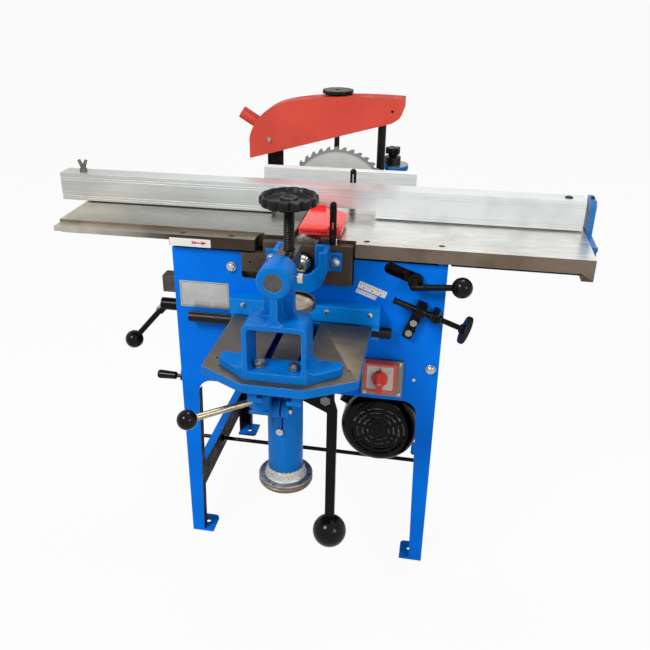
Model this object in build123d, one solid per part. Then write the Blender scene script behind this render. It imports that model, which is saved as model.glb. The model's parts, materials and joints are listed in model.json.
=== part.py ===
from build123d import *
import os
from math import cos, degrees, hypot, pi, radians, sin, tan

os.makedirs("parts", exist_ok=True)

# Combination woodworking machine, millimetres. X along the tables, Y to the rear, Z up.
# The origin is on the floor, at the centre of the four anchor holes.

# Fits and gaps
run_fit = 0.05
slide_gap = 0.1
thread_gap = 0.3
hand_gap = 0.5

# Stand
stand_w = 540.0
stand_d = 460.0
stand_h = 718.0
sheet = 3.0
arch_h = 418.0
arch_r = 30.0
leg_w = 38.0
leg_foot_w = 28.0
leg_return = 22.0
side_leg_w = 48.0
foot_x = 50.0
foot_y = 55.0
foot_t = 5.0
foot_r = 10.0
anchor_d = 13.0
anchor_in_x = 28.0
anchor_in_y = 32.0
rail_low = 60.0
rail_high = 157.0
rail_flange = 20.0
shelf_drop = 118.0
shelf_w = 42.0
tie_d = 10.0
tie_y = 15.0
tie_z = 98.0
tie_out = 45.0

# Planer
table_rise = 37.0
table_t = 28.0
table_w = 220.0
overhang = 13.0
infeed_len = 525.0
outfeed_len = 513.0
infeed_drop = 1.0
lip_x = 28.0
lip_t = 5.0
ledge_w = 28.0
ledge_drop = 6.0
cutter_d = 80.0
cutter_len = 200.0
cutter_front = 5.0
knife_out = 1.5
incline = 20.0
way_x = 58.0
way_depth = 55.0
way_inset = 8.0
saddle_x0 = 100.0
saddle_inset = 18.0
window_left = 128.0
window_right = 94.0
window_h = 55.0
window_r = 6.0
beam_left = 100.0
beam_right = 134.0
beam_w = 38.0
beam_h = 40.0
shaft_d = 25.0
shaft_clear = 17.0
chuck_len = 34.0
chuck_bore = 13.0
bearing_d = 52.0
bearing_w = 15.0

# Planer fence, its brackets and the cutter guard
fence_y = 138.0
fence_t = 44.0
fence_wall = 4.0
fence_h = 58.5
fence_gap = 2.5
fence_left = 567.0
fence_right = 519.0
fence_rod_d = 14.0
fence_notch_l = 99.0
fence_notch_r = 117.0
fence_notch_h = 17.0
wing_in = 45.0
guard_rise = 18.0
guard_x0 = -14.0
guard_x1 = 68.0
guard_len = 128.0
guard_tail_r = 50.0
guard_skirt = 12.0
post_d = 13.0
post_x = 53.0

# Infeed clamp lever and adjusting screw
clamp_in = 58.0
clamp_drop = 30.0
clamp_slot_w = 25.0
clamp_slot_len = 53.0
screw_in = 30.0
screw_drop = 88.0
screw_out = 28.0
screw_d = 13.0
wheel_d = 54.0
ball_d = 35.0
clamp_ball_d = 39.0
clamp_rod_r = 6.0

# Motor, pulleys and belts
motor_in = 116.0
motor_drop = 108.0
motor_d = 150.0
fan_cover_d = 166.0
fan_dome_r = 24.0
motor_gap = 12.0
motor_len = 254.0
motor_shaft_d = 24.0
spindle_groove_r = 26.0
motor_groove_r = 43.0
belt_t = 6.0
belt_w = 10.0
belt_gap = 0.2
pulley_in = 154.0
pulley_w = 32.0

# Saw
blade_d = 250.0
blade_t = 2.2
blade_in = 60.0
blade_teeth = 40
saw_rise = 2.0
saw_plate_t = 8.0
saw_left = 172.0
saw_right = 178.0
saw_in = 175.0
saw_out = 28.0
rip_len = 340.0
rip_h = 53.5
rip_t = 22.0
rip_in = 164.0
rip_forward = 8.0
rip_rear = 60.0
mitre_out = 8.0
mitre_x = 122.0
mitre_r = 38.0
guard_w = 52.0
guard_t = 2.0
star_d = 70.0
star_t = 7.5
star_rise = 2.5

# Mortising attachment
mortise_drop = 121.0
mortise_t = 25.0
mortise_rim = 17.0
mortise_w = 274.0
mortise_back = 35.0
mortise_front = 292.0
mortise_chamfer_y = 48.0
mortise_nose_w = 108.0
slot_pitch = 60.0
slot_w = 13.0
slot_stop = 22.0
column_y = 190.0
column_d = 65.0
column_drop = 64.0
column_len = 161.0
saddle_gap = 8.0
stem_d = 45.0
guide_rod_d = 22.0
guide_rod_drop = 21.0
guide_rod_out = 15.0
guide_left = 146.0
guide_right = 150.0
lift_wheel_d = 102.0
press_y = 150.0
press_bar_d = 31.0
press_rise = 178.0
press_screw_d = 20.0
press_wheel_d = 100.0
pad_d = 93.0
cross_pivot_x = 77.0
cross_pivot_drop = 2.0
cross_len = 300.0
big_ball_d = 65.0

# Switch and plates on the front panel
switch_in = 113.5
switch_share = 0.335
switch_size = 64.0
switch_depth = 14.0
switch_back = 8.0

L = -stand_w / 2
R = stand_w / 2
F = -stand_d / 2
B = stand_d / 2
table_top = stand_h + table_rise
saw_top = table_top + saw_rise
shelf_top = stand_h - shelf_drop
window_low = stand_h - window_h
way_z = table_top - way_depth
way_end = R - way_inset
saddle_x1 = R - saddle_inset
guard_z = table_top + guard_rise
clamp_x = R - clamp_in
clamp_z = stand_h - clamp_drop
screw_x = R - screw_in
screw_z = stand_h - screw_drop
motor_x = R - motor_in
motor_z = arch_h - motor_drop
pulley_y0 = B - pulley_in
blade_mid = B - blade_in
mortise_top = stand_h - mortise_drop
guide_rod_z = mortise_top - guide_rod_drop
column_top = mortise_top - column_drop
column_low = column_top - column_len
press_bar_z = mortise_top + press_rise
cross_pivot_z = column_top - cross_pivot_drop
switch_x = R - switch_in
switch_z = arch_h + switch_share * (mortise_top - arch_h)
spindle_z = table_top - cutter_d / 2
table_front = F - overhang
table_back = table_front + table_w
infeed_top = table_top - infeed_drop
table_low = table_top - table_t
slope = tan(radians(incline))
u_in = (cos(radians(incline)), 0, -sin(radians(incline)))
nodes = {}


def bx(x0, x1, y0, y1, z0, z1):
    return Pos((x0 + x1) / 2, (y0 + y1) / 2, (z0 + z1) / 2) * Box(abs(x1 - x0), abs(y1 - y0), abs(z1 - z0))


def cyl(p, d, r, length):
    return Plane(origin=p, z_dir=d) * Cylinder(r, length, align=(Align.CENTER, Align.CENTER, Align.MIN))


def rod(p0, p1, r):
    v = Vector(*p1) - Vector(*p0)
    return cyl(p0, v.normalized(), r, v.length)


def outline(pts, soft=(), radius=0.0):
    face = Polygon(*pts, align=None)
    if not soft:
        return face
    picked = [v for v in face.vertices() if any(hypot(v.X - a, v.Y - b) < 0.01 for a, b in soft)]
    return fillet(picked, radius)


def xz(pts, y0, y1, soft=(), radius=0.0):
    plane = Plane(origin=(0, y0, 0), x_dir=(1, 0, 0), z_dir=(0, -1, 0))
    return extrude(plane * outline(pts, soft, radius), amount=y1 - y0, dir=(0, 1, 0))


def yz(pts, x0, x1, soft=(), radius=0.0):
    plane = Plane(origin=(x0, 0, 0), x_dir=(0, 1, 0), z_dir=(1, 0, 0))
    return extrude(plane * outline(pts, soft, radius), amount=x1 - x0, dir=(1, 0, 0))


def xy(pts, z0, z1, soft=(), radius=0.0):
    plane = Plane(origin=(0, 0, z0))
    return extrude(plane * outline(pts, soft, radius), amount=z1 - z0, dir=(0, 0, 1))


def turned(p, d, profile, soft=(), radius=0.0):
    return Plane(origin=p, z_dir=d) * revolve(Plane.XZ * outline(profile, soft, radius), Axis.Z)


def cove(x, z, r, side):
    pts = [(x - side, z - 1), (x + side * r, z - 1)]
    for i in range(9):
        t = radians(90 - 90 * i / 8)
        pts.append((x + side * r * (1 - cos(t)), z + r * (1 - sin(t))))
    return pts + [(x - side, z + r)]


def trough(r, y0, y1, top):
    form = bx(-r, r, y0, y1, spindle_z, top) + cyl((0, y0, spindle_z), (0, 1, 0), r, y1 - y0)
    return form - bx(-r - 1, r + 1, y0 - 1, y1 + 1, top, top + r)


def hexagon(p, d, across, length):
    return Plane(origin=p, z_dir=d) * extrude(RegularPolygon(across / 2, 6, major_radius=False), amount=length)


def bolt(p, d, size, across, head, shank):
    back = (-d[0], -d[1], -d[2])
    return hexagon(p, d, across, head) + cyl(p, back, size / 2, shank)


def slot_cut(p, direction, normal, centres, width, depth):
    plane = Plane(origin=p, x_dir=direction, z_dir=normal)
    return extrude(plane * SlotCenterToCenter(centres, width), amount=depth, both=True)


def lobed(p, d, radius, lobes, notch, depth, height):
    body = cyl(p, d, radius, height)
    plane = Plane(origin=p, z_dir=d)
    cuts = []
    for i in range(lobes):
        a = 2 * pi * i / lobes
        spot = Pos((radius + notch - depth) * cos(a), (radius + notch - depth) * sin(a), 0)
        cuts.append(plane * (spot * Cylinder(notch, 4 * height)))
    return body - cuts


def ball_on(p0, p1, radius, hole):
    v = (Vector(*p1) - Vector(*p0)).normalized()
    tip = Vector(*p1) + v * (radius * 0.2)
    return Pos(*p1) * Sphere(radius) - rod(p0, (tip.X, tip.Y, tip.Z), hole)


def add(name, *pieces):
    nodes[name] = pieces


def belt_face(r0, r1):
    span = hypot(motor_x, spindle_z - motor_z)
    ux = motor_x / span
    uz = (motor_z - spindle_z) / span
    k = (r0 - r1) / span
    h = (1 - k * k) ** 0.5
    pts = []
    for side in (1, -1):
        nx = ux * k - side * uz * h
        nz = uz * k + side * ux * h
        pts.append(((nx * r0, spindle_z + nz * r0), (motor_x + nx * r1, motor_z + nz * r1)))
    top = (-ux * r0, spindle_z - uz * r0)
    low = (motor_x + ux * r1, motor_z + uz * r1)
    edge = Line(pts[0][0], pts[0][1]) + ThreePointArc(pts[0][1], low, pts[1][1])
    edge += Line(pts[1][1], pts[1][0]) + ThreePointArc(pts[1][0], top, pts[0][0])
    return make_face(edge)


def curve(pts, steps):
    out = []
    for i in range(len(pts) - 1):
        p0 = pts[max(i - 1, 0)]
        p1 = pts[i]
        p2 = pts[i + 1]
        p3 = pts[min(i + 2, len(pts) - 1)]
        for j in range(steps):
            t = j / steps
            w0 = -0.5 * t + t * t - 0.5 * t ** 3
            w1 = 1 - 2.5 * t * t + 1.5 * t ** 3
            w2 = 0.5 * t + 2 * t * t - 1.5 * t ** 3
            w3 = -0.5 * t * t + 0.5 * t ** 3
            out.append(tuple(w0 * a + w1 * b + w2 * c + w3 * d for a, b, c, d in zip(p0, p1, p2, p3)))
    out.append(pts[-1])
    return out


def inset(pts, gaps):
    lines = []
    for i, (x0, z0) in enumerate(pts):
        x1, z1 = pts[(i + 1) % len(pts)]
        size = hypot(x1 - x0, z1 - z0)
        dx = (x1 - x0) / size
        dz = (z1 - z0) / size
        lines.append((x0 + dz * gaps[i], z0 - dx * gaps[i], dx, dz))
    out = []
    for i, (x0, z0, dx, dz) in enumerate(lines):
        xa, za, ex, ez = lines[i - 1]
        det = ex * dz - ez * dx
        if abs(det) < 1e-4:
            out.append((x0, z0))
        else:
            t = ((x0 - xa) * dz - (z0 - za) * dx) / det
            out.append((xa + ex * t, za + ez * t))
    return out


def xz_solid(face, y0, y1):
    plane = Plane(origin=(0, y0, 0), x_dir=(1, 0, 0), z_dir=(0, -1, 0))
    return extrude(plane * face, amount=y1 - y0, dir=(0, 1, 0))


# Stand: folded sheet, four legs, low rails, feet and the inner shelves
arch_pts = [(L, 0), (L + leg_foot_w, 0), (L + leg_w, arch_h), (R - leg_w, arch_h), (R - leg_foot_w, 0), (R, 0)]
arch_soft = [(L + leg_w, arch_h), (R - leg_w, arch_h)]
panel_pts = arch_pts + [(R, stand_h), (L, stand_h)]
side_foot_w = side_leg_w - 8
side_pts = [
    (F, 0),
    (F + side_foot_w, 0),
    (F + side_leg_w, arch_h),
    (B - side_leg_w, arch_h),
    (B - side_foot_w, 0),
    (B, 0),
    (B, stand_h),
    (F, stand_h),
]
side_soft = [(F + side_leg_w, arch_h), (B - side_leg_w, arch_h)]
stand = xz(panel_pts, F, F + sheet, arch_soft, arch_r)
stand += xz(panel_pts, B - sheet, B, arch_soft, arch_r)
stand += yz(side_pts, L, L + sheet, side_soft, arch_r)
stand += yz(side_pts, R - sheet, R, side_soft, arch_r)
anchors = []
return_z = arch_h - arch_r
return_x = leg_foot_w + (leg_w - leg_foot_w) * return_z / arch_h
for sx in (-1, 1):
    x_out = sx * stand_w / 2
    stand += bx(x_out, x_out - sx * sheet, F, B, rail_low, rail_high)
    stand += bx(x_out, x_out - sx * rail_flange, F, B, rail_high - sheet, rail_high)
    shelf_x = x_out - sx * (sheet + shelf_w)
    stand += bx(x_out - sx * sheet / 2, shelf_x, F + 25, B - 30, shelf_top - sheet, shelf_top)
    for sy in (-1, 1):
        y_out = sy * stand_d / 2
        foot_in = (x_out - sx * foot_x, y_out - sy * foot_y)
        foot_pts = [(x_out, y_out), (foot_in[0], y_out), foot_in, (x_out, foot_in[1])]
        stand += xy(foot_pts, 0, foot_t, [foot_in], foot_r)
        return_pts = [
            (x_out - sx * leg_foot_w, 0),
            (x_out - sx * (leg_foot_w - sheet), 0),
            (x_out - sx * (return_x - sheet), return_z),
            (x_out - sx * return_x, return_z),
        ]
        stand += xz(return_pts, y_out, y_out - sy * leg_return)
        anchors.append((x_out - sx * anchor_in_x, y_out - sy * anchor_in_y))
for ax, ay in anchors:
    stand -= cyl((ax, ay, -1), (0, 0, 1), anchor_d / 2, foot_t + 2)
window_soft = [(-window_left, window_low), (window_right, window_low)]
window_pts = window_soft + [(window_right, stand_h + 1), (-window_left, stand_h + 1)]
stand -= xz(window_pts, F - 1, F + sheet + 1, window_soft, window_r)
slot_back = clamp_slot_len / 2 * cos(radians(incline)) - 2
slot_mid = (clamp_x - slot_back, F + sheet / 2, clamp_z + slot_back * slope)
stand -= slot_cut(slot_mid, u_in, (0, -1, 0), clamp_slot_len, clamp_slot_w, sheet)
nut_t = -15.0
nut_x = screw_x + nut_t * u_in[0]
nut_z = screw_z + nut_t * u_in[2]
v_in = (sin(radians(incline)), 0, cos(radians(incline)))
nut_bolts = [(nut_x - s * v_in[0], nut_z - s * v_in[2]) for s in (34.0, 57.5)]
for hx, hz in nut_bolts:
    stand -= slot_cut((hx + 1.5, F + sheet / 2, hz - 0.5), u_in, (0, -1, 0), 12, 10.5, sheet)
crank_y = F + 110
crank_z = arch_h + 32
crank_d = 14.0
stand -= cyl((L - 1, crank_y, crank_z), (1, 0, 0), crank_d / 2 + run_fit, sheet + 2)
lock_y = F + 30
lock_z = shelf_top - 22
lock_d = 12.0
stand -= cyl((L - 1, lock_y, lock_z), (1, 0, 0), lock_d / 2 + run_fit, sheet + 2)
for sx in (-1, 1):
    stand -= cyl((sx * stand_w / 2 - 5, tie_y, tie_z), (1, 0, 0), tie_d / 2, 10)
add("stand_cabinet", stand)

tie = cyl((L - tie_out, tie_y, tie_z), (1, 0, 0), tie_d / 2, R - L + tie_out)
tie_nuts = []
nut_w = 1.7 * tie_d
nut_h = 0.8 * tie_d
for start in (L - nut_h, L + sheet, R - sheet - nut_h):
    nut = hexagon((start, tie_y, tie_z), (1, 0, 0), nut_w, nut_h)
    tie_nuts.append(nut - cyl((start - 1, tie_y, tie_z), (1, 0, 0), tie_d / 2, nut_h + 2))
add("tie_rod", tie, *tie_nuts)

# Planer body: front bearing block, rear pedestal, inclined ways and beams
block_front = F - 14
block_back = F + 3
block_top = table_top - 7
block_low = window_low + 5
block_l = -window_left + 4
block_r = window_right - 2
shoulder = block_l + 44
ear_low = block_low + 16
ear_top = table_low - 5
cutter_gap = cutter_d / 2 + 4
gap_low = block_top - 4
body = xz(
    [
        (shoulder, block_low),
        (block_r, block_low),
        (block_r, block_top),
        (cutter_gap, block_top),
        (cutter_gap, gap_low),
        (-cutter_gap, gap_low),
        (-cutter_gap, block_top),
        (shoulder, block_top),
        (shoulder, ear_top),
        (block_l, ear_top),
        (block_l, ear_low),
        (shoulder, ear_low),
    ],
    block_front,
    block_back,
)
body -= cyl((block_l + 17, block_front - 1, (ear_low + ear_top) / 2), (0, 1, 0), 2.5, 9)
way_low = shelf_top
ped_y0 = B - 108
ped_y1 = B - 83
body += bx(-beam_left, beam_right, block_back, F + 20, way_low, block_low + 2)
body += bx(shoulder + 2, block_r - 2, block_back - 2, block_back + 2, block_low, block_low + 2)
body += bx(-beam_left, beam_w - beam_left, block_back, ped_y1, way_low, way_low + beam_h)
body += bx(beam_right - beam_w, beam_right, block_back, ped_y1, way_low, way_low + beam_h)
body += bx(-beam_left, beam_right, ped_y0, ped_y1, way_low, saw_top - 11)
way_bands = [(F + 16.5, F + 44.5), (F + 170, F + 198)]
way_drop = (way_end - way_x) * slope
for y0, y1 in way_bands:
    for sx in (-1, 1):
        body += xz(
            [
                (sx * way_x, way_low),
                (sx * way_end, way_low),
                (sx * way_end, way_z - way_drop),
                (sx * way_x, way_z),
            ],
            y0,
            y1,
        )
rear_post_x = 60.0
rear_post_y = F + 218
arm_top = table_top - 20
arm_low = arm_top - 20
body += xz(
    [
        (beam_right - beam_w, way_low),
        (beam_right, way_low),
        (beam_right, way_low + beam_h),
        (rear_post_x + 12, arm_top),
        (rear_post_x - 10, arm_top),
        (rear_post_x - 10, arm_low),
        (beam_right - beam_w, way_low + beam_h),
    ],
    rear_post_y - 8,
    rear_post_y + 8,
)
leg_y = B - 95
leg_d = 24.0
saw_legs = [(-saw_left + 22, leg_y), (saw_right - 25, leg_y)]
pad_low = way_low + beam_h
body += bx(-saw_left - 3, 5 - beam_left, leg_y - 17, leg_y + 15, pad_low, pad_low + 50)
body += bx(beam_right - 4, saw_right, leg_y - 17, leg_y + 15, pad_low, pad_low + 50)
for lx, ly in saw_legs:
    body -= cyl((lx, ly, way_low), (0, 0, 1), leg_d / 2 + run_fit, saw_top - way_low)
rear_bearing_y = ped_y0 + 3
front_bearing_y = block_back - bearing_w
body -= cyl((0, front_bearing_y, spindle_z), (0, 1, 0), bearing_d / 2, bearing_w + 1)
body -= cyl((0, block_front - 1, spindle_z), (0, 1, 0), shaft_clear, block_back - block_front + 2)
body -= cyl((0, rear_bearing_y, spindle_z), (0, 1, 0), bearing_d / 2, bearing_w)
body -= cyl((0, ped_y0 - 1, spindle_z), (0, 1, 0), shaft_clear, ped_y1 - ped_y0 + 2)
front_post_y = block_back - 8.5
post_sink = 13.0
body -= cyl((post_x, front_post_y, block_top - post_sink), (0, 0, 1), post_d / 2, 20)
body -= cyl((rear_post_x, rear_post_y, arm_top - post_sink), (0, 0, 1), post_d / 2, 20)
add("planer_body", body)

bearings = []
for y0 in (front_bearing_y, rear_bearing_y):
    ring = cyl((0, y0, spindle_z), (0, 1, 0), bearing_d / 2, bearing_w)
    bearings.append(ring - cyl((0, y0 - 1, spindle_z), (0, 1, 0), shaft_d / 2 + run_fit, bearing_w + 2))
add("spindle_bearings", *bearings)

# Spindle with cutterblock, pulley, saw blade and mortising chuck
cut_y0 = F + cutter_front
cut_y1 = cut_y0 + cutter_len
chuck_y1 = block_front - 2
chuck_y0 = chuck_y1 - chuck_len
nose_y = chuck_y1 - 8
spindle = cyl((0, nose_y, spindle_z), (0, 1, 0), shaft_d / 2, blade_mid + 30 - nose_y)
add("spindle", spindle)

wedge_w = 9.0
knife_t = 3.0
knife_deep = 20.0
cutter = cyl((0, cut_y0, spindle_z), (0, 1, 0), cutter_d / 2, cutter_len)
cutter -= cyl((0, cut_y0 - 1, spindle_z), (0, 1, 0), shaft_d / 2, cutter_len + 2)
knives = []
for i in range(3):
    spin = Pos(0, 0, spindle_z) * Rot(0, 120 * i + 30, 0)
    top = cutter_d / 2
    cutter -= spin * bx(0, wedge_w + knife_t, cut_y0 - 1, cut_y1 + 1, top - knife_deep, top + 5)
    knives.append(spin * bx(0, knife_t, cut_y0, cut_y1, top - knife_deep, top + knife_out))
    knives.append(spin * bx(knife_t, knife_t + wedge_w, cut_y0, cut_y1, top - knife_deep, top - 3))
add("cutterblock", cutter)
add("planer_knives", *knives)

belt_ys = [pulley_y0 + 6, pulley_y0 + pulley_w - 6 - belt_w]


def pulley(x, z, groove, bore):
    part = cyl((x, pulley_y0, z), (0, 1, 0), groove + belt_t - 1, pulley_w)
    for yb in belt_ys:
        ring = cyl((x, yb - belt_gap, z), (0, 1, 0), groove + 20, belt_w + 2 * belt_gap)
        part -= ring - cyl((x, yb - 1, z), (0, 1, 0), groove - belt_gap, belt_w + 2)
    return part - cyl((x, pulley_y0 - 1, z), (0, 1, 0), bore / 2, pulley_w + 2)


add("spindle_pulley", pulley(0, spindle_z, spindle_groove_r, shaft_d))
loop = belt_face(spindle_groove_r + belt_t, motor_groove_r + belt_t)
loop -= belt_face(spindle_groove_r, motor_groove_r)
add("v_belts", *[xz_solid(loop, yb, yb + belt_w) for yb in belt_ys])

teeth = []
for i in range(blade_teeth):
    a = 2 * pi * i / blade_teeth
    s = 2 * pi / blade_teeth
    r_tip = blade_d / 2
    r_root = r_tip - 8
    for da, rr in ((0.0, r_tip), (0.3, r_tip - 1.5), (0.72, r_root), (0.95, r_root)):
        teeth.append((rr * cos(a + da * s), spindle_z + rr * sin(a + da * s)))
blade = xz(teeth, blade_mid - blade_t / 2, blade_mid + blade_t / 2)
blade -= cyl((0, blade_mid - 5, spindle_z), (0, 1, 0), shaft_d / 2, 10)
add("saw_blade", blade)
flange_r = 30.0
flange_t = 10.0
fl_y = blade_mid - blade_t / 2 - flange_t
fl_back = blade_mid + blade_t / 2
flange_a = cyl((0, fl_y, spindle_z), (0, 1, 0), flange_r, flange_t)
flange_b = cyl((0, fl_back, spindle_z), (0, 1, 0), flange_r, flange_t)
arbor_nut = hexagon((0, fl_back + flange_t, spindle_z), (0, 1, 0), 36, 14)
bore_cut = cyl((0, fl_y - 1, spindle_z), (0, 1, 0), shaft_d / 2, 80)
add("saw_flanges", flange_a - bore_cut, flange_b - bore_cut, arbor_nut - bore_cut)

chuck = turned(
    (0, chuck_y1, spindle_z),
    (0, -1, 0),
    [
        (0, 0),
        (14, 0),
        (18, 3),
        (18, 12),
        (16.5, 13.5),
        (16.5, 16),
        (15, 18),
        (12, chuck_len - 1),
        (11, chuck_len),
        (0, chuck_len),
    ],
)
chuck -= cyl((0, nose_y, spindle_z), (0, 1, 0), shaft_d / 2, 30)
chuck -= cyl((0, chuck_y0 - 1, spindle_z), (0, 1, 0), chuck_bore / 2, nose_y - chuck_y0)
add("mortise_chuck", chuck)

# Motor with its plate, rotor, fan cover and pulley
mot_y1 = pulley_y0 - motor_gap
mot_y0 = mot_y1 - motor_len
cover_len = 62.0
cover_t = 2.5
frame_y0 = mot_y0 + cover_len - 6
core_r = 46.0
motor = cyl((motor_x, frame_y0, motor_z), (0, 1, 0), motor_d / 2, mot_y1 - 12 - frame_y0)
motor += cyl((motor_x, mot_y1 - 14, motor_z), (0, 1, 0), motor_d / 2 - 18, 14)
motor += cyl((motor_x, frame_y0, motor_z), (0, 1, 0), fan_cover_d / 2 - cover_t, 6)
for i in range(20):
    a = 2 * pi * i / 20
    fin = Pos(motor_x, 0, motor_z) * Rot(0, degrees(a), 0)
    motor += fin * bx(motor_d / 2 - 3, motor_d / 2 + 5, frame_y0 + 12, mot_y1 - 24, -1.5, 1.5)
plate_x = R - sheet - 21
motor += bx(motor_x + motor_d / 2 - 24, plate_x, frame_y0 + 30, frame_y0 + 130, motor_z - 35, motor_z + 35)
box_turn = Pos(motor_x, 0, motor_z) * Rot(0, 210, 0)
motor += box_turn * bx(motor_d / 2 - 10, motor_d / 2 + 20, frame_y0 + 14, frame_y0 + 74, -24, 24)
motor -= cyl((motor_x, frame_y0 + 8, motor_z), (0, 1, 0), core_r + hand_gap, mot_y1 - 26 - frame_y0)
motor -= cyl((motor_x, frame_y0 - 1, motor_z), (0, 1, 0), motor_shaft_d / 2 + run_fit, motor_len)
add("motor_housing", motor)

cover_r = fan_cover_d / 2
cover_in = cover_r - cover_t
shell = [(0, 0), (cover_r, 0), (cover_r, cover_len), (0, cover_len)]
room = [(0, cover_t), (cover_in, cover_t), (cover_in, cover_len + 1), (0, cover_len + 1)]
cover = turned((motor_x, mot_y0, motor_z), (0, 1, 0), shell, [shell[1]], fan_dome_r)
cover -= turned((motor_x, mot_y0, motor_z), (0, 1, 0), room, [room[1]], fan_dome_r - cover_t)
ring_step = 11.0
ring_w = 4.0
spoke_w = 6.0
for i in range(5):
    r0 = (i + 1) * ring_step - 1
    ring = cyl((motor_x, mot_y0 - 1, motor_z), (0, 1, 0), r0 + ring_w, 5)
    ring -= cyl((motor_x, mot_y0 - 2, motor_z), (0, 1, 0), r0, 8)
    for j in range(4):
        spoke = Pos(motor_x, mot_y0, motor_z) * Rot(0, 45 * j + 15, 0)
        ring -= spoke * Box(2 * fan_cover_d, 20, spoke_w)
    cover -= ring
add("motor_fan_cover", cover)

rotor_y0 = mot_y0 + 16
rotor = cyl((motor_x, rotor_y0, motor_z), (0, 1, 0), motor_shaft_d / 2, pulley_y0 + pulley_w + 4 - rotor_y0)
rotor += cyl((motor_x, frame_y0 + 24, motor_z), (0, 1, 0), core_r, mot_y1 - 50 - frame_y0)
fan = cyl((motor_x, mot_y0 + 20, motor_z), (0, 1, 0), 66, 4)
for i in range(8):
    blade_spot = Pos(motor_x, 0, motor_z) * Rot(0, 45 * i, 0)
    fan += blade_spot * bx(14, 66, mot_y0 + 23, mot_y0 + 40, -1.5, 1.5)
fan += cyl((motor_x, mot_y0 + 20, motor_z), (0, 1, 0), 17, 22)
fan -= cyl((motor_x, mot_y0 + 10, motor_z), (0, 1, 0), motor_shaft_d / 2, 60)
add("motor_rotor", rotor, fan)
add("motor_pulley", pulley(motor_x, motor_z, motor_groove_r, motor_shaft_d))

mount_y0 = frame_y0 + 20
mount_w = 120.0
mount = bx(plate_x, plate_x + 6, mount_y0, mount_y0 + mount_w, motor_z - 75, arch_h + 82)
for y0 in (mount_y0 + 5, mount_y0 + mount_w - 35):
    mount += bx(plate_x + 6, R - sheet, y0, y0 + 30, arch_h + 22, arch_h + 72)
add("motor_plate", mount)

# Infeed table: plate, saddles on the inclined ways and the clamp lug
in_x = infeed_len
lip_foot = lip_x + 22
lip_pts = [(lip_x, infeed_top), (lip_x, infeed_top - lip_t), (lip_foot, table_low)]
block_clear = window_right + 3
infeed = xz(lip_pts + [(block_clear + 1, table_low), (block_clear + 1, infeed_top)], cut_y0, table_back)
infeed += bx(block_clear, in_x, table_front, table_back, table_low, infeed_top)
infeed += bx(in_x - 21, in_x, table_front, table_back, table_low - 14, table_low + 1)
rib_x0 = R + 5
for y0 in (table_front + 28, table_front + 181):
    infeed += bx(rib_x0, in_x - 20, y0, y0 + 12, table_low - 14, table_low + 1)
z_gap = slide_gap / cos(radians(incline))
saddle_z0 = way_z - (saddle_x0 - way_x) * slope + z_gap
saddle_z1 = way_z - (saddle_x1 - way_x) * slope + z_gap
for y0, y1 in way_bands:
    infeed += xz(
        [
            (saddle_x0, table_low + 1),
            (saddle_x1, table_low + 1),
            (saddle_x1, saddle_z1),
            (saddle_x0, saddle_z0),
        ],
        y0 - 1,
        y1 + 1,
    )
lug_y0 = F + sheet + 2
lug_y1 = way_bands[0][0] - 1
infeed += bx(clamp_x - 22, clamp_x + 28, lug_y0, lug_y1, nut_bolts[1][1] - 16, table_low + 1)
stud_d = 12.0
infeed -= cyl((clamp_x, lug_y0 - 1, clamp_z), (0, 1, 0), stud_d / 2 + run_fit, lug_y1 - lug_y0 + 2)
nut_bolt_d = 8.0
for hx, hz in nut_bolts:
    infeed -= cyl((hx, lug_y0 - 1, hz), (0, 1, 0), nut_bolt_d / 2, lug_y1 - lug_y0 + 2)
csk_in = [(clamp_x - 96, table_front + 19), (clamp_x + 43, table_front + 22)]
csk_out = [(L + 26, table_front + 13), (L + 124, table_front + 13)]


def csk(x, y, z):
    head = cyl((x, y, z - 3.5), (0, 0, 1), 6, 3.2)
    return head + cyl((x, y, z - 14), (0, 0, 1), 3, 11)


def csk_hole(x, y, z):
    return cyl((x, y, z - 3.5), (0, 0, 1), 6, 6) + cyl((x, y, z - 14), (0, 0, 1), 3, 11)


for sx, sy in csk_in:
    infeed -= csk_hole(sx, sy, infeed_top)
add("infeed_table", infeed)

screw_y = F - screw_out
eye = Plane(origin=(nut_x, screw_y, nut_z), x_dir=u_in, z_dir=(0, -1, 0))
panel_off = 2.5
back_z = -(screw_out - panel_off)
bracket = eye * bx(-9.5, 9.5, -71, 6, back_z, back_z + 9.5)
bracket += eye * bx(-9.5, 9.5, -10.5, 10.5, back_z, 0)
bracket += eye * (Rot(0, 90, 0) * Cylinder(10.5, 19))
bracket -= eye * (Rot(0, 90, 0) * Cylinder(screw_d / 2 + thread_gap, 40))
nut_screws = []
face_y = F - panel_off - 9.5
for hx, hz in nut_bolts:
    bracket -= cyl((hx, face_y - 1, hz), (0, 1, 0), nut_bolt_d / 2, 20)
    nut_screws.append(bolt((hx, face_y, hz), (0, -1, 0), nut_bolt_d, 13, 5.5, lug_y1 - face_y - 1))
add("infeed_fittings", bracket, *nut_screws, *[csk(a, b, infeed_top) for a, b in csk_in])

brk_y = F + fence_y
bracket_r = bx(in_x, in_x + 12, brk_y - 74, brk_y + fence_t + 2, table_low + 5, table_low + 24)
bracket_r += yz(
    [
        (brk_y - 4, table_low + 6),
        (brk_y + fence_t + 3, table_low + 6),
        (brk_y + fence_t + 3, table_top + 62),
        (brk_y + 4, table_top + 62),
        (brk_y - 4, table_top + 54),
    ],
    in_x + 1,
    in_x + 12,
)
bracket_r += hexagon((in_x + 12, brk_y - 58, table_low + 14.5), (1, 0, 0), 10, 4)
end_screw = cyl((in_x + 6.5, brk_y + fence_t / 2, table_top + 62), (0, 0, 1), 3.5, 4)
add("fence_bracket_right", bracket_r, end_screw)

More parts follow.
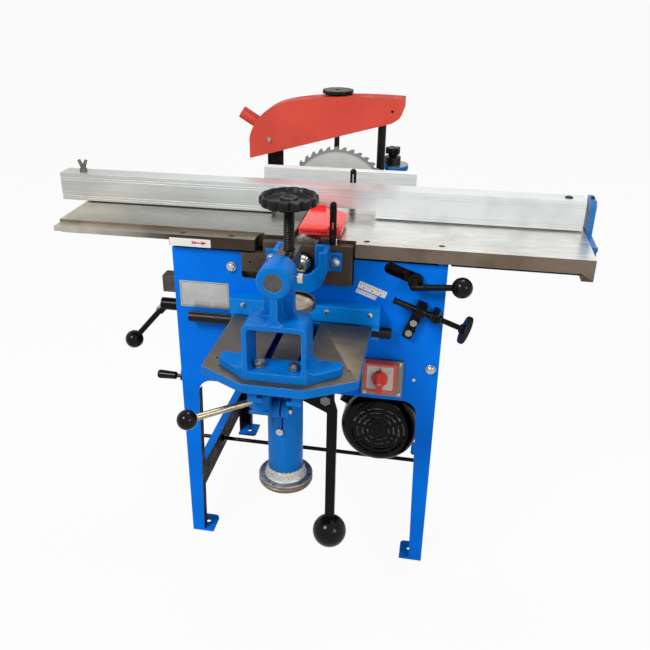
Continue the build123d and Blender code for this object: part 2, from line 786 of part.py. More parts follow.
boss_y0 = F - 16
boss_y1 = F - 3
lever = cyl((clamp_x, boss_y0, clamp_z), (0, 1, 0), 14.5, boss_y1 - boss_y0)
lever += cyl((clamp_x, boss_y1 - 1, clamp_z), (0, 1, 0), stud_d / 2, lug_y1 - 1 - boss_y1)
lever_knee = (clamp_x - 2, boss_y0 - 6, clamp_z - 8)
in_ball = (clamp_x + 86, F - 33, clamp_z + 3)
lever += rod((clamp_x + 1, boss_y0 + 4, clamp_z + 2), lever_knee, clamp_rod_r + 1)
lever += Pos(*lever_knee) * Sphere(clamp_rod_r + 1)
lever += rod(lever_knee, in_ball, clamp_rod_r)
add("infeed_clamp_lever", lever, ball_on(lever_knee, in_ball, clamp_ball_d / 2, clamp_rod_r) - lever)

axis = Plane(origin=(screw_x, screw_y, screw_z), z_dir=u_in)


def on_axis(t0, t1, r):
    return axis * (Pos(0, 0, t0) * Cylinder(r, t1 - t0, align=(Align.CENTER, Align.CENTER, Align.MIN)))


lug_t0 = 10.0
lug_t1 = 22.0
wheel_t = 71.0
collar_r = 8.5
adjust = on_axis(-70, wheel_t + 10, screw_d / 2)
adjust += on_axis(lug_t0 - 6, lug_t0 - slide_gap, collar_r)
adjust += on_axis(lug_t1 + slide_gap, lug_t1 + 6, collar_r)
knurl = on_axis(wheel_t, wheel_t + 10, wheel_d / 2) + on_axis(wheel_t - 6, wheel_t, 9)
knurl -= on_axis(-80, 120, screw_d / 2)
add("adjust_screw", adjust, knurl)

# Fittings on the front panel
lug_frame = Plane(origin=(screw_x, screw_y, screw_z), x_dir=u_in, z_dir=(0, -1, 0))
lug = lug_frame * bx(lug_t0, lug_t1, -9, 9, -screw_out, 9.5)
lug -= on_axis(lug_t0 - 1, lug_t1 + 1, screw_d / 2 + run_fit)
fittings = [lug]
panel_bolts = [
    (-window_left - 21, stand_h - 33, 17, 7),
    (R - 16, arch_h + 79, 17, 7),
    (R - 47, arch_h + 53, 8, 3.5),
]
for px, pz, across, head in panel_bolts:
    fittings.append(hexagon((px, F, pz), (0, -1, 0), across, head))
bar_front = F - 30
bar_low = mortise_top
bar_high = bar_low + 33
guide_screw_r = 5.5
for px in (27 - guide_left, -40, 48, guide_right - 18):
    fittings.append(cyl((px, bar_front, bar_high - 11), (0, -1, 0), guide_screw_r, 4))
cg_x = 61.0
cg_z = spindle_z + 3
cg_y = block_front - 8
for sx in (-1, 1):
    fittings.append(hexagon((sx * cg_x, cg_y, cg_z), (0, -1, 0), 16, 6))
add("panel_fittings", *fittings)

plate = bx(L + 11, -guide_left - 10, F - 1, F, stand_h - 127, stand_h - 70)
add("nameplate", plate)

# Chuck guard: back plate and open-topped trough with a low front wall
cg_r = 50.0
cg_w = 8.0
cg_top = block_top + 2
cg_len = 38.0
cg_front = cg_y - cg_len
cg_wall = 7.0
mouth = cg_r - 14
mouth_low = spindle_z - 11
cguard = bx(-cg_x - 12, cg_x + 12, cg_y, block_front, cg_z - 18, cg_z + 18)
cguard += trough(cg_r, cg_front, block_front, cg_top)
cguard -= trough(cg_r - cg_w, cg_front + cg_wall, cg_y, cg_top + 1)
mouth_soft = [(-mouth, spindle_z + 8), (-17, mouth_low), (17, mouth_low), (mouth, spindle_z + 8)]
mouth_pts = mouth_soft + [(mouth, cg_top + 1), (-mouth, cg_top + 1)]
cguard -= xz(mouth_pts, cg_front - 1, cg_front + cg_wall + 1, mouth_soft, 8)
cguard -= trough(22, cg_y - 1, block_front + 1, cg_top + 1)
add("chuck_guard", cguard)

# Outfeed table with rabbeting ledge
out_x = -outfeed_len
ledge_y = table_front + ledge_w
ledge_top = table_top - ledge_drop
mirror_lip = [(-lip_x, table_top), (-lip_x, table_top - lip_t), (-lip_foot, table_low)]
outfeed = xz(mirror_lip + [(shoulder - 3, table_low), (shoulder - 3, table_top)], cut_y0, table_back)
outfeed += bx(out_x, shoulder - 2, ledge_y, table_back, table_low, table_top)
ledge_end = shoulder - 17
outfeed += bx(out_x, ledge_end, table_front, ledge_y + 1, ledge_top - 10, ledge_top)
outfeed += bx(L, ledge_end, table_front, ledge_y + 1, ledge_top - 23, ledge_top)
out_rib_y = table_front + 92
outfeed += bx(out_x, out_x + 21, out_rib_y, table_back, table_low - 14, table_low + 1)
for y0 in (out_rib_y, table_front + 181):
    outfeed += bx(out_x + 20, -rib_x0, y0, y0 + 12, table_low - 14, table_low + 1)
for y0, y1 in way_bands:
    outfeed += xz(
        [
            (-saddle_x0, table_low + 1),
            (-saddle_x1, table_low + 1),
            (-saddle_x1, saddle_z1),
            (-saddle_x0, saddle_z0),
        ],
        y0 - 1,
        y1 + 1,
    )
for sx, sy in csk_out:
    outfeed -= csk_hole(sx, sy, ledge_top)
add("outfeed_table", outfeed)
add("outfeed_screws", *[csk(a, b, ledge_top) for a, b in csk_out])

# Fence with its slide rod, left bracket and wing screw
fen_y0 = F + fence_y
fen_y1 = fen_y0 + fence_t
fen_z0 = table_top + fence_gap
fen_z1 = fen_z0 + fence_h
rod_x = out_x - 15
rod_z = fen_z0 + 27
fence_in = [fen_y0 + fence_wall, fen_y1 - fence_wall]
web_z = fen_z0 + fence_h / 2
fence = bx(-fence_left, fence_right, fen_y0, fen_y1, fen_z0, fen_z1)
fence -= bx(-fence_left - 1, fence_right + 1, *fence_in, fen_z0 + fence_wall, fen_z1 - fence_wall)
fence += bx(-fence_left, fence_right, fen_y0 + 3, fen_y1 - 3, web_z - 2, web_z + 2)
groove_h = 1.6
for dz in (5, 10, fence_h - 14, fence_h - 9):
    fence -= bx(-fence_left - 1, fence_right + 1, fen_y0 - 1, fen_y0 + 1, fen_z0 + dz, fen_z0 + dz + groove_h)
fence -= bx(-fence_notch_l, fence_notch_r, fen_y0 - 1, fen_y1 + 1, fen_z0 - 1, fen_z0 + fence_notch_h)
wing_x = wing_in - fence_left
wing_y = (fen_y0 + fen_y1) / 2
wing_d = 8.0
wing_deep = 18.0
fence -= cyl((wing_x, wing_y, fen_z1 - wing_deep), (0, 0, 1), wing_d / 2 + run_fit, wing_deep + 1)
slide_rod = cyl((rod_x, fen_y1, rod_z), (0, 1, 0), fence_rod_d / 2, 80)
top_screw = turned(
    (fence_right - 31, wing_y, fen_z1),
    (0, 0, 1),
    [(0, 0), (8, 0), (7, 2), (4, 3.2), (0, 3.5)],
)
add("planer_fence", fence, slide_rod, top_screw)

left_y0 = fen_y1 + 22
left_top = rod_z + 15
bracket_l = bx(out_x - 27, out_x, left_y0, left_y0 + 30, table_low + 14, left_top)
bracket_l -= cyl((rod_x, left_y0 - 1, rod_z), (0, 1, 0), fence_rod_d / 2 + run_fit, 40)
add("fence_bracket_left", bracket_l)

wing = cyl((wing_x, wing_y, fen_z1 - wing_deep), (0, 0, 1), wing_d / 2, wing_deep + 1)
wing += cyl((wing_x, wing_y, fen_z1 + hand_gap), (0, 0, 1), 8, 6)
wing += cyl((wing_x, wing_y, fen_z1 + 5), (0, 0, 1), 5.5, 9)
wing += xz(
    [
        (wing_x - 11, fen_z1 + 24),
        (wing_x - 5, fen_z1 + 7),
        (wing_x + 5, fen_z1 + 7),
        (wing_x + 11, fen_z1 + 24),
        (wing_x + 6, fen_z1 + 26),
        (wing_x, fen_z1 + 15),
        (wing_x - 6, fen_z1 + 26),
    ],
    wing_y - 2,
    wing_y + 2,
)
add("fence_wing_screw", wing)

# Cutter guard and the two slotted posts
gy0 = F
gy1 = gy0 + guard_len
guard_pts = [(guard_x0, gy0), (guard_x1, gy0), (guard_x1, gy1), (guard_x0, gy1)]
skirt_y = gy0 + 5
skirt_x = guard_x1 - 2
skirt_out = [(guard_x0, skirt_y), (skirt_x, skirt_y), (skirt_x, gy1), (guard_x0, gy1)]
skirt_in = [
    (guard_x0 - 1, skirt_y + 2),
    (skirt_x - 2, skirt_y + 2),
    (skirt_x - 2, gy1 - 2),
    (guard_x0 - 1, gy1 - 2),
]
skirt_low = guard_z - guard_skirt
cutter_guard = xy(guard_pts, guard_z, guard_z + 2, [guard_pts[2]], guard_tail_r)
skirt = xy(skirt_out, skirt_low, guard_z + 1, [skirt_out[2]], guard_tail_r - 2)
cutter_guard += skirt - xy(skirt_in, skirt_low - 1, guard_z + 2, [skirt_in[2]], guard_tail_r - 4)
cutter_guard += bx(guard_x0, guard_x1, gy0, gy0 + 2, guard_z - 3, guard_z + 1)
cutter_guard += bx(guard_x0, guard_x1 - guard_tail_r, gy1 - 2, gy1, guard_z + 1, guard_z + 10)
cutter_guard += bx(post_x - 11, post_x + 11, front_post_y - 1, gy0 + 1, guard_z - 6, guard_z + 8)
cutter_guard -= cyl((post_x, front_post_y, guard_z - 20), (0, 0, 1), post_d / 2 + thread_gap, 60)
add("cutter_guard", cutter_guard)


def slotted_post(x, y, z0, z1, slot_low, slot_high):
    post = cyl((x, y, z0), (0, 0, 1), post_d / 2, z1 - z0 - post_d / 2)
    post += Pos(x, y, z1 - post_d / 2) * Sphere(post_d / 2)
    return post - bx(x - 1.5, x + 1.5, y - 9, y + 9, slot_low, slot_high)


post_f_top = table_top + 76
post_r_top = table_top + 81
post_f_low = block_top - post_sink
post_r_low = arm_top - post_sink
post_f = slotted_post(post_x, front_post_y, post_f_low, post_f_top, post_f_top - 72, post_f_top - 38)
post_r = slotted_post(rear_post_x, rear_post_y, post_r_low, post_r_top, post_r_top - 52, post_r_top - 10)
add("guard_posts", post_f, post_r)

# Left side: clamp block and guard strip, outfeed clamp lever, lift crank
side_block = bx(L - 32, L, lock_y - 15, lock_y + 15, lock_z + 34, lock_z + 70)
strip = bx(L - 6, L, lock_y - 10, lock_y + 10, lock_z - 104, lock_z - 18)
add("left_side_blocks", side_block, strip)

lock = cyl((L - 42, lock_y, lock_z), (1, 0, 0), 13, 38)
lock += cyl((L - 5, lock_y, lock_z), (1, 0, 0), lock_d / 2, sheet + 22)
lock_from = (L - 34, lock_y, lock_z)
lock_ball = (L - 114, lock_y, lock_z - 92)
lock += rod(lock_from, lock_ball, clamp_rod_r)
lock += rod((L - 30, lock_y, lock_z + 4), (L - 50, lock_y, lock_z - 18), 9)
add("outfeed_clamp_lever", lock, ball_on(lock_from, lock_ball, clamp_ball_d / 2, clamp_rod_r))

grip_y = crank_y - 50
grip_z = crank_z - 64
arm_x = L - 20
crank_arm = hypot(crank_y - grip_y, crank_z - grip_z)
crank_dir = (0, (grip_y - crank_y) / crank_arm, (grip_z - crank_z) / crank_arm)
mid = (arm_x, (crank_y + grip_y) / 2, (crank_z + grip_z) / 2)
crank = slot_cut(mid, crank_dir, (1, 0, 0), crank_arm, 20, 4)
crank += cyl((arm_x, crank_y, crank_z), (1, 0, 0), crank_d / 2, 62)
crank += cyl((L + sheet + 1, crank_y, crank_z), (1, 0, 0), 12, 12)
crank += cyl((arm_x - 54, grip_y, grip_z), (1, 0, 0), 4, 54)
grip = turned(
    (arm_x - 14, grip_y, grip_z),
    (-1, 0, 0),
    [(0, 0), (6, 0), (8.5, 3), (10, 40), (8.5, 44), (0, 44)],
)
grip -= cyl((arm_x - 60, grip_y, grip_z), (1, 0, 0), 4 + run_fit, 70)
add("lift_crank", crank, grip)

# Mortising guide on the panel, knee with its column and the guide rod
rod_y = F - guide_rod_out
guide = bx(-guide_left, guide_right, bar_front, F, bar_low, bar_high)
for x0, x1 in ((-guide_left, 42 - guide_left), (guide_right - 38, guide_right)):
    guide += bx(x0, x1, bar_front + 6, F, guide_rod_z - 13, bar_low + 1)
guide_rod = rod((L + 33, rod_y, guide_rod_z), (R - 97, rod_y, guide_rod_z), guide_rod_d / 2)
guide -= guide_rod
add("mortise_guide", guide)
add("guide_rod", guide_rod)

col_y = F - column_y
knee = bx(-60, 60, F - 32, F - 2, guide_rod_z - 18, guide_rod_z + 18)
knee += bx(-50, 50, F - 18, F - 2, arch_h + 24, guide_rod_z - 10)
knee += bx(-50, 50, F - 18, F - thread_gap, arch_h + 24, arch_h + 48)
knee += yz(
    [
        (F - 12, arch_h + 24),
        (F - 12, column_top + 3),
        (col_y + 20, column_top - 3),
        (col_y + 20, column_top - 20),
    ],
    -18,
    18,
)
knee += cyl((0, col_y, column_low), (0, 0, 1), column_d / 2, column_top - column_low)
split = Pos(0, col_y, 0) * Rot(0, 0, 2)
lug_half = 14.0
lug_r = 16.5
lug_y = -37.0
lug_z = column_top - lug_r - 1
knee += split * bx(-lug_half, lug_half, lug_y, -24, lug_z - lug_r, lug_z + lug_r)
knee += split * cyl((-lug_half, lug_y, lug_z), (1, 0, 0), lug_r, 2 * lug_half)
knee -= cyl((0, col_y, column_low - 1), (0, 0, 1), stem_d / 2 + run_fit, column_top - column_low + 2)
knee -= split * bx(-1.5, 1.5, -60, -15, column_top - 75, column_top + 1)
knee -= cyl((-100, rod_y, guide_rod_z), (1, 0, 0), guide_rod_d / 2 + run_fit, 200)
lug_bolt_d = 8.0
knee -= split * cyl((-30, lug_y - 3, lug_z), (1, 0, 0), lug_bolt_d / 2, 70)
add("mortise_knee", knee)

saddle_low = column_top + saddle_gap
lever_plate = xz(
    [
        (column_d / 2 - 2, column_top - 16),
        (column_d / 2 - 2, column_top - 1),
        (cross_pivot_x - 14, saddle_low - 3),
        (cross_pivot_x + 13, saddle_low - 3),
        (cross_pivot_x + 13, cross_pivot_z - 32),
        (cross_pivot_x, cross_pivot_z - 36),
    ],
    col_y - 4,
    col_y + 4,
)
lever_plate -= cyl((0, col_y, column_low), (0, 0, 1), column_d / 2, 300)
pivot_d = 10.0
lever_plate -= cyl((cross_pivot_x, col_y - 9, cross_pivot_z), (0, 1, 0), pivot_d / 2, 20)
lever_y0 = col_y - 15
pivot_bolt = bolt((cross_pivot_x, lever_y0 - 1, cross_pivot_z), (0, -1, 0), pivot_d, 17, 7, 19)
lug_bolt = split * bolt((lug_half, lug_y - 3, lug_z), (1, 0, 0), lug_bolt_d, 13, 6, 2 * lug_half - 2)
key_spin = Pos(0, col_y, 0) * Rot(0, 0, -4)
key_screw = key_spin * hexagon((0, -column_d / 2 + 0.8, column_top - 68), (0, -1, 0), 13, 7)
key_screw -= cyl((0, col_y, column_low), (0, 0, 1), column_d / 2, 300)
add("knee_fittings", lever_plate, pivot_bolt, lug_bolt, key_screw)

bar_x = cross_pivot_x + 2
lever_end = cross_pivot_z - cross_len + 23
cross = xz(
    [
        (cross_pivot_x - 9, cross_pivot_z - 8),
        (cross_pivot_x + 11, cross_pivot_z + 6),
        (bar_x + 18, cross_pivot_z - 27),
        (bar_x + 18, lever_end),
        (bar_x, lever_end),
        (bar_x, cross_pivot_z - 30),
    ],
    lever_y0,
    lever_y0 + 10,
)
cross += cyl((cross_pivot_x, lever_y0, cross_pivot_z), (0, 1, 0), 13, 10)
cross -= cyl((cross_pivot_x, lever_y0 - 1, cross_pivot_z), (0, 1, 0), pivot_d / 2 + run_fit, 20)
big_ball = Pos(bar_x + 9, lever_y0 + 5, cross_pivot_z - cross_len) * Sphere(big_ball_d / 2) - cross
add("cross_lever", cross, big_ball)

# Saddle on its stem, lift handwheel
saddle_high = saddle_low + 15
stem_low = column_low + 28
lift_screw_r = 9.0
saddle = bx(-60, 60, col_y - 26, F - 60, saddle_low, saddle_high)
saddle += bx(-21, 21, col_y - 26, F - 60, saddle_high - 1, saddle_high + 8)
saddle += bx(-30, 30, col_y - 26, F - 60, saddle_high + 8, mortise_top - mortise_t - slide_gap)
saddle += cyl((0, col_y, stem_low), (0, 0, 1), stem_d / 2, saddle_low + 1 - stem_low)
hub_x = -32.5
hub_y = col_y - 53
hub_r = 19.0
hub_z0 = saddle_low - 15
hub_z1 = saddle_high - 1
pin_d = 12.0
hub_bracket = bx(hub_x - 17, hub_x + 17, hub_y + hub_r + 1, col_y - 25, hub_z0 - 7, saddle_low + 1)
hub_bracket += bx(hub_x - 17, hub_x + 17, hub_y - 17, col_y - 25, hub_z0 - 7, hub_z0 - hand_gap)
hub_bracket -= cyl((0, col_y, hub_z0 - 8), (0, 0, 1), column_d / 2 + 1, column_top + 9 - hub_z0)
saddle += hub_bracket
saddle += cyl((hub_x, hub_y, hub_z0 - 7), (0, 0, 1), pin_d / 2, hub_z1 - 1 - hub_z0 + 7)
saddle -= cyl((0, col_y, stem_low - 1), (0, 0, 1), lift_screw_r + thread_gap, 100)
add("table_saddle", saddle)

rim = lift_wheel_d / 2
lift_wheel = turned(
    (0, col_y, column_low - hand_gap),
    (0, 0, 1),
    [
        (0, 108),
        (lift_screw_r, 108),
        (lift_screw_r, 0),
        (rim - 17, 0),
        (rim - 12.5, -17),
        (rim - 11, -18.5),
        (rim - 1.5, -18.5),
        (rim, -20),
        (rim, -32),
        (rim - 3, -35),
        (rim - 14, -35),
        (rim - 19, -24),
        (12, -16),
        (12, -28),
        (0, -28),
    ],
)
add("lift_handwheel", lift_wheel)

# Mortising table
mt_y0 = F - mortise_front
mt_y1 = F - mortise_back
half = mortise_w / 2
nose = mortise_nose_w / 2
mt_low = mortise_top - mortise_t
mtable = xy(
    [
        (-half, mt_y1),
        (-half, mt_y0 + mortise_chamfer_y),
        (-nose, mt_y0),
        (nose, mt_y0),
        (half, mt_y0 + mortise_chamfer_y),
        (half, mt_y1),
    ],
    mortise_top - mortise_rim,
    mortise_top,
)
rib_half = 48.0
mtable += bx(-rib_half, rib_half, mt_y0 + 12, mt_y1, mt_low, mortise_top - mortise_rim + 1)
slot_head = 21.0
for sx in (-1, 1):
    cx = sx * slot_pitch / 2
    slot_y = mt_y0 + slot_stop
    mtable -= bx(cx - slot_w / 2, cx + slot_w / 2, slot_y, mt_y1 + 1, mortise_top - 10, mortise_top + 1)
    mtable -= bx(cx - slot_head / 2, cx + slot_head / 2, slot_y, mt_y1 + 1, mortise_top - 18, mortise_top - 9)
    mtable -= cyl((sx * (half - 19), mt_y0 + 80, mortise_top - 8), (0, 0, 1), 2.5, 9)
    gib_x0 = sx * (21 + slide_gap)
    gib_x1 = sx * (30 + slide_gap)
    gib_low = saddle_high + thread_gap
    gib_high = saddle_high + 8 - slide_gap
    mtable += bx(gib_x1, sx * 46, mt_y0 + 12, mt_y1 - 25, gib_low, mt_low + 1)
    mtable += bx(gib_x0, gib_x1 + sx, mt_y0 + 12, mt_y1 - 25, gib_low, gib_high)
add("mortise_table", mtable)

# Hold-down on the mortising table
hd_y0 = F - 276
hd_y1 = F - 212
hd_top = mortise_top + 103
hd_half = 54.0
win_half = 46.0
toe_x = 107.0
base_t = 15.0
base_top = mortise_top + base_t
hd_plan = [
    (-hd_half, hd_y0),
    (hd_half, hd_y0),
    (toe_x, hd_y0 + 42),
    (toe_x, hd_y1),
    (win_half, hd_y1),
    (win_half, hd_y1 - 11),
    (-win_half, hd_y1 - 11),
    (-win_half, hd_y1),
    (-toe_x, hd_y1),
    (-toe_x, hd_y0 + 42),
]
hold = xy(hd_plan, mortise_top, base_top)
ring_soft = [(hd_half, hd_top), (-hd_half, hd_top)]
ring_pts = [(-hd_half, mortise_top), (hd_half, mortise_top)] + ring_soft
ring = xz(ring_pts, hd_y0, hd_y1, ring_soft, 12)
opening = bx(-win_half, win_half, hd_y0 - 1, hd_y1 + 1, base_top, hd_top - 9)
opening = fillet(opening.edges().filter_by(Axis.Y), 6)
hold += ring - opening - bx(-win_half, win_half, hd_y1 - 11, hd_y1 + 1, mortise_top - 1, mortise_top + 60)
hold -= opening
boss_r = 29.0
boss_b = hd_y1 - 10
neck_t = 14.0
neck_x = boss_r - 3
web_x = 6.0
for sx in (-1, 1):
    hold += xz(cove(sx * hd_half, base_top, 20, sx), hd_y0, hd_y1 - 4) & xy(hd_plan, mortise_top, hd_top)
    hold += xz(cove(sx * neck_x, hd_top, 16, sx), boss_b - neck_t, boss_b)
    hold += xz(cove(sx * web_x, hd_top, 14, sx), hd_y0 + 4, boss_b - neck_t + 1)
hold += bx(-neck_x, neck_x, boss_b - neck_t, boss_b, hd_top - 1, press_bar_z)
hold += bx(-web_x, web_x, hd_y0 + 4, boss_b - neck_t + 1, hd_top - 1, press_bar_z - 10)
boss_len = boss_b - hd_y0 - 2
boss_pts = [(0, 0), (boss_r, 0), (boss_r, boss_len), (0, boss_len)]
hold += turned((0, hd_y0 + 2, press_bar_z), (0, 1, 0), boss_pts, [boss_pts[1]], 5)
hold -= cyl((0, hd_y0 - 1, press_bar_z), (0, 1, 0), press_bar_d / 2 + run_fit, 90)
clamp_bolt_y = hd_y0 + 36
clamp_bolt_d = 10.0
clamp_hole = cyl((press_bar_d / 2, clamp_bolt_y, press_bar_z - 2), (1, 0, 0), clamp_bolt_d / 2, 30)
hold -= clamp_hole
tb_y = hd_y0 + 23
t_bolt_d = 11.0
t_bolts = []
for sx in (-1, 1):
    tx = sx * slot_pitch / 2
    hold -= cyl((tx, tb_y, mortise_top - 1), (0, 0, 1), t_bolt_d / 2, base_t + 20)
    shank = cyl((tx, tb_y, mortise_top - 12), (0, 0, 1), t_bolt_d / 2, base_t + 24)
    foot = bx(tx - 9, tx + 9, tb_y - 9, tb_y + 9, mortise_top - 17, mortise_top - 11)
    nut = hexagon((tx, tb_y, mortise_top + base_t + 2.5), (0, 0, 1), 17, 8)
    nut += cyl((tx, tb_y, mortise_top + base_t), (0, 0, 1), 9.8, 2.5)
    t_bolts.append(shank + foot)
    t_bolts.append(nut - cyl((tx, tb_y, mortise_top), (0, 0, 1), t_bolt_d / 2, 60))
clamp_in_x = press_bar_d / 2 + 0.4
clamp_head_x = boss_r + 5
clamp_at = (clamp_in_x, clamp_bolt_y, press_bar_z - 2)
clamp_bolt = cyl(clamp_at, (1, 0, 0), clamp_bolt_d / 2, clamp_head_x + 1 - clamp_in_x)
clamp_bolt += hexagon((clamp_head_x, clamp_bolt_y, press_bar_z - 2), (1, 0, 0), 15, 8)
add("hold_down_frame", hold)
add("hold_down_bolts", *t_bolts, clamp_bolt)

scr_y = F - press_y
press_bar = cyl((0, hd_y0 + 2, press_bar_z), (0, 1, 0), press_bar_d / 2, scr_y - hd_y0 - 20)
block = bx(-17, 17, scr_y - 53, scr_y + 18, press_bar_z - 17, press_bar_z + 13)
press_bar += block
press_bar -= cyl((0, scr_y, press_bar_z - 30), (0, 0, 1), press_screw_d / 2 + thread_gap, 60)
add("press_bar", press_bar)

pad_z0 = mortise_top + 83
pad_z1 = pad_z0 + 12
wheel_z = mortise_top + 272
pad_r = pad_d / 2
pad = turned(
    (0, scr_y, pad_z0),
    (0, 0, 1),
    [
        (0, 0),
        (pad_r - 2, 0),
        (pad_r, 2),
        (pad_r, 11),
        (pad_r - 1, 12),
        (pad_r - 4, 12),
        (pad_r - 5, 6),
        (15, 7),
        (14, 12),
        (0, 12),
    ],
)
pad -= cyl((0, scr_y, pad_z0 + 5), (0, 0, 1), press_screw_d / 2 - 4 + thread_gap, 20)
add("press_pad", pad)

screw = cyl((0, scr_y, pad_z1 + hand_gap), (0, 0, 1), press_screw_d / 2, wheel_z + 4 - pad_z1)
screw += cyl((0, scr_y, pad_z0 + 5.5), (0, 0, 1), press_screw_d / 2 - 4, 10)
pr = press_wheel_d / 2
wheel_body = lobed((0, scr_y, wheel_z - 3), (0, 0, 1), pr, 14, 5.5, 2.2, 17)
wheel_body -= turned(
    (0, scr_y, wheel_z),
    (0, 0, 1),
    [(0, 9.5), (13, 9.5), (15, 6), (pr - 12, 5), (pr - 7, 15), (0, 15)],
)
wheel_body += cyl((0, scr_y, wheel_z - 10), (0, 0, 1), 13, 14)
wheel_body -= cyl((0, scr_y, wheel_z - 30), (0, 0, 1), press_screw_d / 2, 34.5 + hand_gap)
add("press_screw", screw, wheel_body)

# Plunge lever under the mortising table
hub = cyl((hub_x, hub_y, hub_z0), (0, 0, 1), hub_r, hub_z1 - hub_z0)
arm_z = (hub_z0 + hub_z1) / 2
arm_from = (hub_x, hub_y, arm_z)
plunge_ball = (hub_x - 104.5, hub_y - 88, arm_z)
hub += rod(arm_from, plunge_ball, 6)
hub -= cyl((hub_x, hub_y, hub_z0 - 1), (0, 0, 1), pin_d / 2 + run_fit, hub_z1 - hub_z0 + 2)
add("plunge_lever", hub, ball_on(arm_from, plunge_ball, ball_d / 2, 6))

# Saw table with its two guide legs
sx0 = -saw_left
sx1 = saw_right
sy0 = B - saw_in
sy1 = B + saw_out
saw_low = saw_top - saw_plate_t
mit_y = B + mitre_out
rip_y0 = B - rip_in
mit_half = 9.5
saw_table = bx(sx0, sx1, sy0, sy1, saw_low, saw_top)
saw_table += bx(sx0, sx1, sy0, sy0 + 6, saw_low - 14, saw_low + 1)
saw_table += bx(sx0, sx1, mit_y - 14, mit_y + 14, saw_low - 6, saw_low + 1)
for lx, ly in saw_legs:
    saw_table += cyl((lx, ly, way_low + 20), (0, 0, 1), leg_d / 2, saw_low + 1 - way_low - 20)
saw_table -= bx(sx0 + 3, blade_d / 2 + 8, blade_mid - 4, blade_mid + 4, saw_low - 20, saw_top + 1)
saw_table -= bx(sx0 - 1, sx1 + 1, mit_y - mit_half, mit_y + mit_half, saw_top - 6.3, saw_top + 1)
rip_key_x = 140.0
key_y0 = rip_y0 + 4 - rip_forward - 0.5
key_y1 = rip_y0 + rip_t - 4 + rip_rear + 0.5
saw_table -= bx(rip_key_x - 6, rip_key_x + 6, key_y0, key_y1, saw_low - 1, saw_top + 1)
gp_x = 98.0
gs_x = -6.0
gp_y = blade_mid + 17
gp_d = 19.0
gs_d = 12.0
saw_table -= cyl((gp_x, gp_y, saw_low - 1), (0, 0, 1), gp_d / 2, 20)
saw_table -= cyl((gs_x, gp_y, saw_low - 1), (0, 0, 1), gs_d / 2, 20)
add("saw_table", saw_table)

kn_x0 = sx0 + 4
kn_x1 = kn_x0 + 38
knife = bx(kn_x0, kn_x1, blade_mid - blade_t / 2, blade_mid + blade_t / 2, saw_low - 14, saw_top + 118)
guard_bolt_x = -158.5
guard_bolt_z = saw_top + 97
bolt_d = 8.0
knife -= slot_cut((guard_bolt_x, blade_mid, guard_bolt_z - 11), (0, 0, 1), (0, 1, 0), 42, bolt_d + 1, 10)
foot_l = bx(kn_x0, kn_x1, blade_mid - 12, blade_mid - blade_t / 2, saw_low - 14, saw_low)
add("riving_knife", knife, foot_l)

stud_top = saw_top + 206.0
gp_len = 169.0
post = cyl((gp_x, gp_y, saw_low), (0, 0, 1), gp_d / 2, gp_len)
post += cyl((gp_x, gp_y, saw_top), (0, 0, 1), 14.5, 4)
stud = cyl((gs_x, gp_y, saw_low), (0, 0, 1), gs_d / 2, stud_top - saw_low)
add("saw_guard_posts", post, stud)

rip_x0 = -152.0
rip_z0 = saw_top + 0.4
rip = bx(rip_x0, rip_x0 + rip_len, rip_y0, rip_y0 + rip_t, rip_z0, rip_z0 + rip_h)
rip -= bx(rip_x0 - 1, rip_x0 + rip_len + 1, rip_y0 + 4, rip_y0 + rip_t - 4, rip_z0 + 8, rip_z0 + rip_h - 5)
rip += bx(rip_key_x - 5.8, rip_key_x + 5.8, rip_y0 + 4, rip_y0 + rip_t - 4, saw_low, rip_z0 + 1)
add("rip_fence", rip)

mbar = bx(mitre_x - 82, sx1 - 4, mit_y - mit_half + 0.15, mit_y + mit_half - 0.15, saw_top - 6.1, saw_top)
mbar += cyl((mitre_x, mit_y, saw_top - 1), (0, 0, 1), mit_half - 1, 6)
mbar += cyl((mitre_x, mit_y, saw_top + hand_gap), (0, 0, 1), 15, 19 - hand_gap)
mbar += cyl((mitre_x, mit_y, saw_top), (0, 0, 1), 5, 64)
add("mitre_bar", mbar)

head_z = saw_top + 19 + hand_gap
head = cyl((mitre_x, mit_y, head_z), (0, 0, 1), mitre_r, 12)
head -= bx(mitre_x - 99, mitre_x - 8, mit_y - 99, mit_y + 99, head_z - 1, head_z + 99)
head += bx(mitre_x - 14, mitre_x - 7, mit_y - 33, mit_y + 33, head_z, head_z + 26)
head += cyl((mitre_x, mit_y, head_z), (0, 0, 1), 19, 30)
head -= cyl((mitre_x, mit_y, head_z - 1), (0, 0, 1), 5 + run_fit, 60)
add("mitre_head", head)

knob_z = head_z + 30 + hand_gap
knob = lobed((mitre_x, mit_y, knob_z + 6), (0, 0, 1), 17.5, 5, 7, 5, 15)
knob += cyl((mitre_x, mit_y, knob_z), (0, 0, 1), 10, 8)
knob -= cyl((mitre_x, mit_y, knob_z - 1), (0, 0, 1), 5 + thread_gap, 17)
add("mitre_knob", knob)

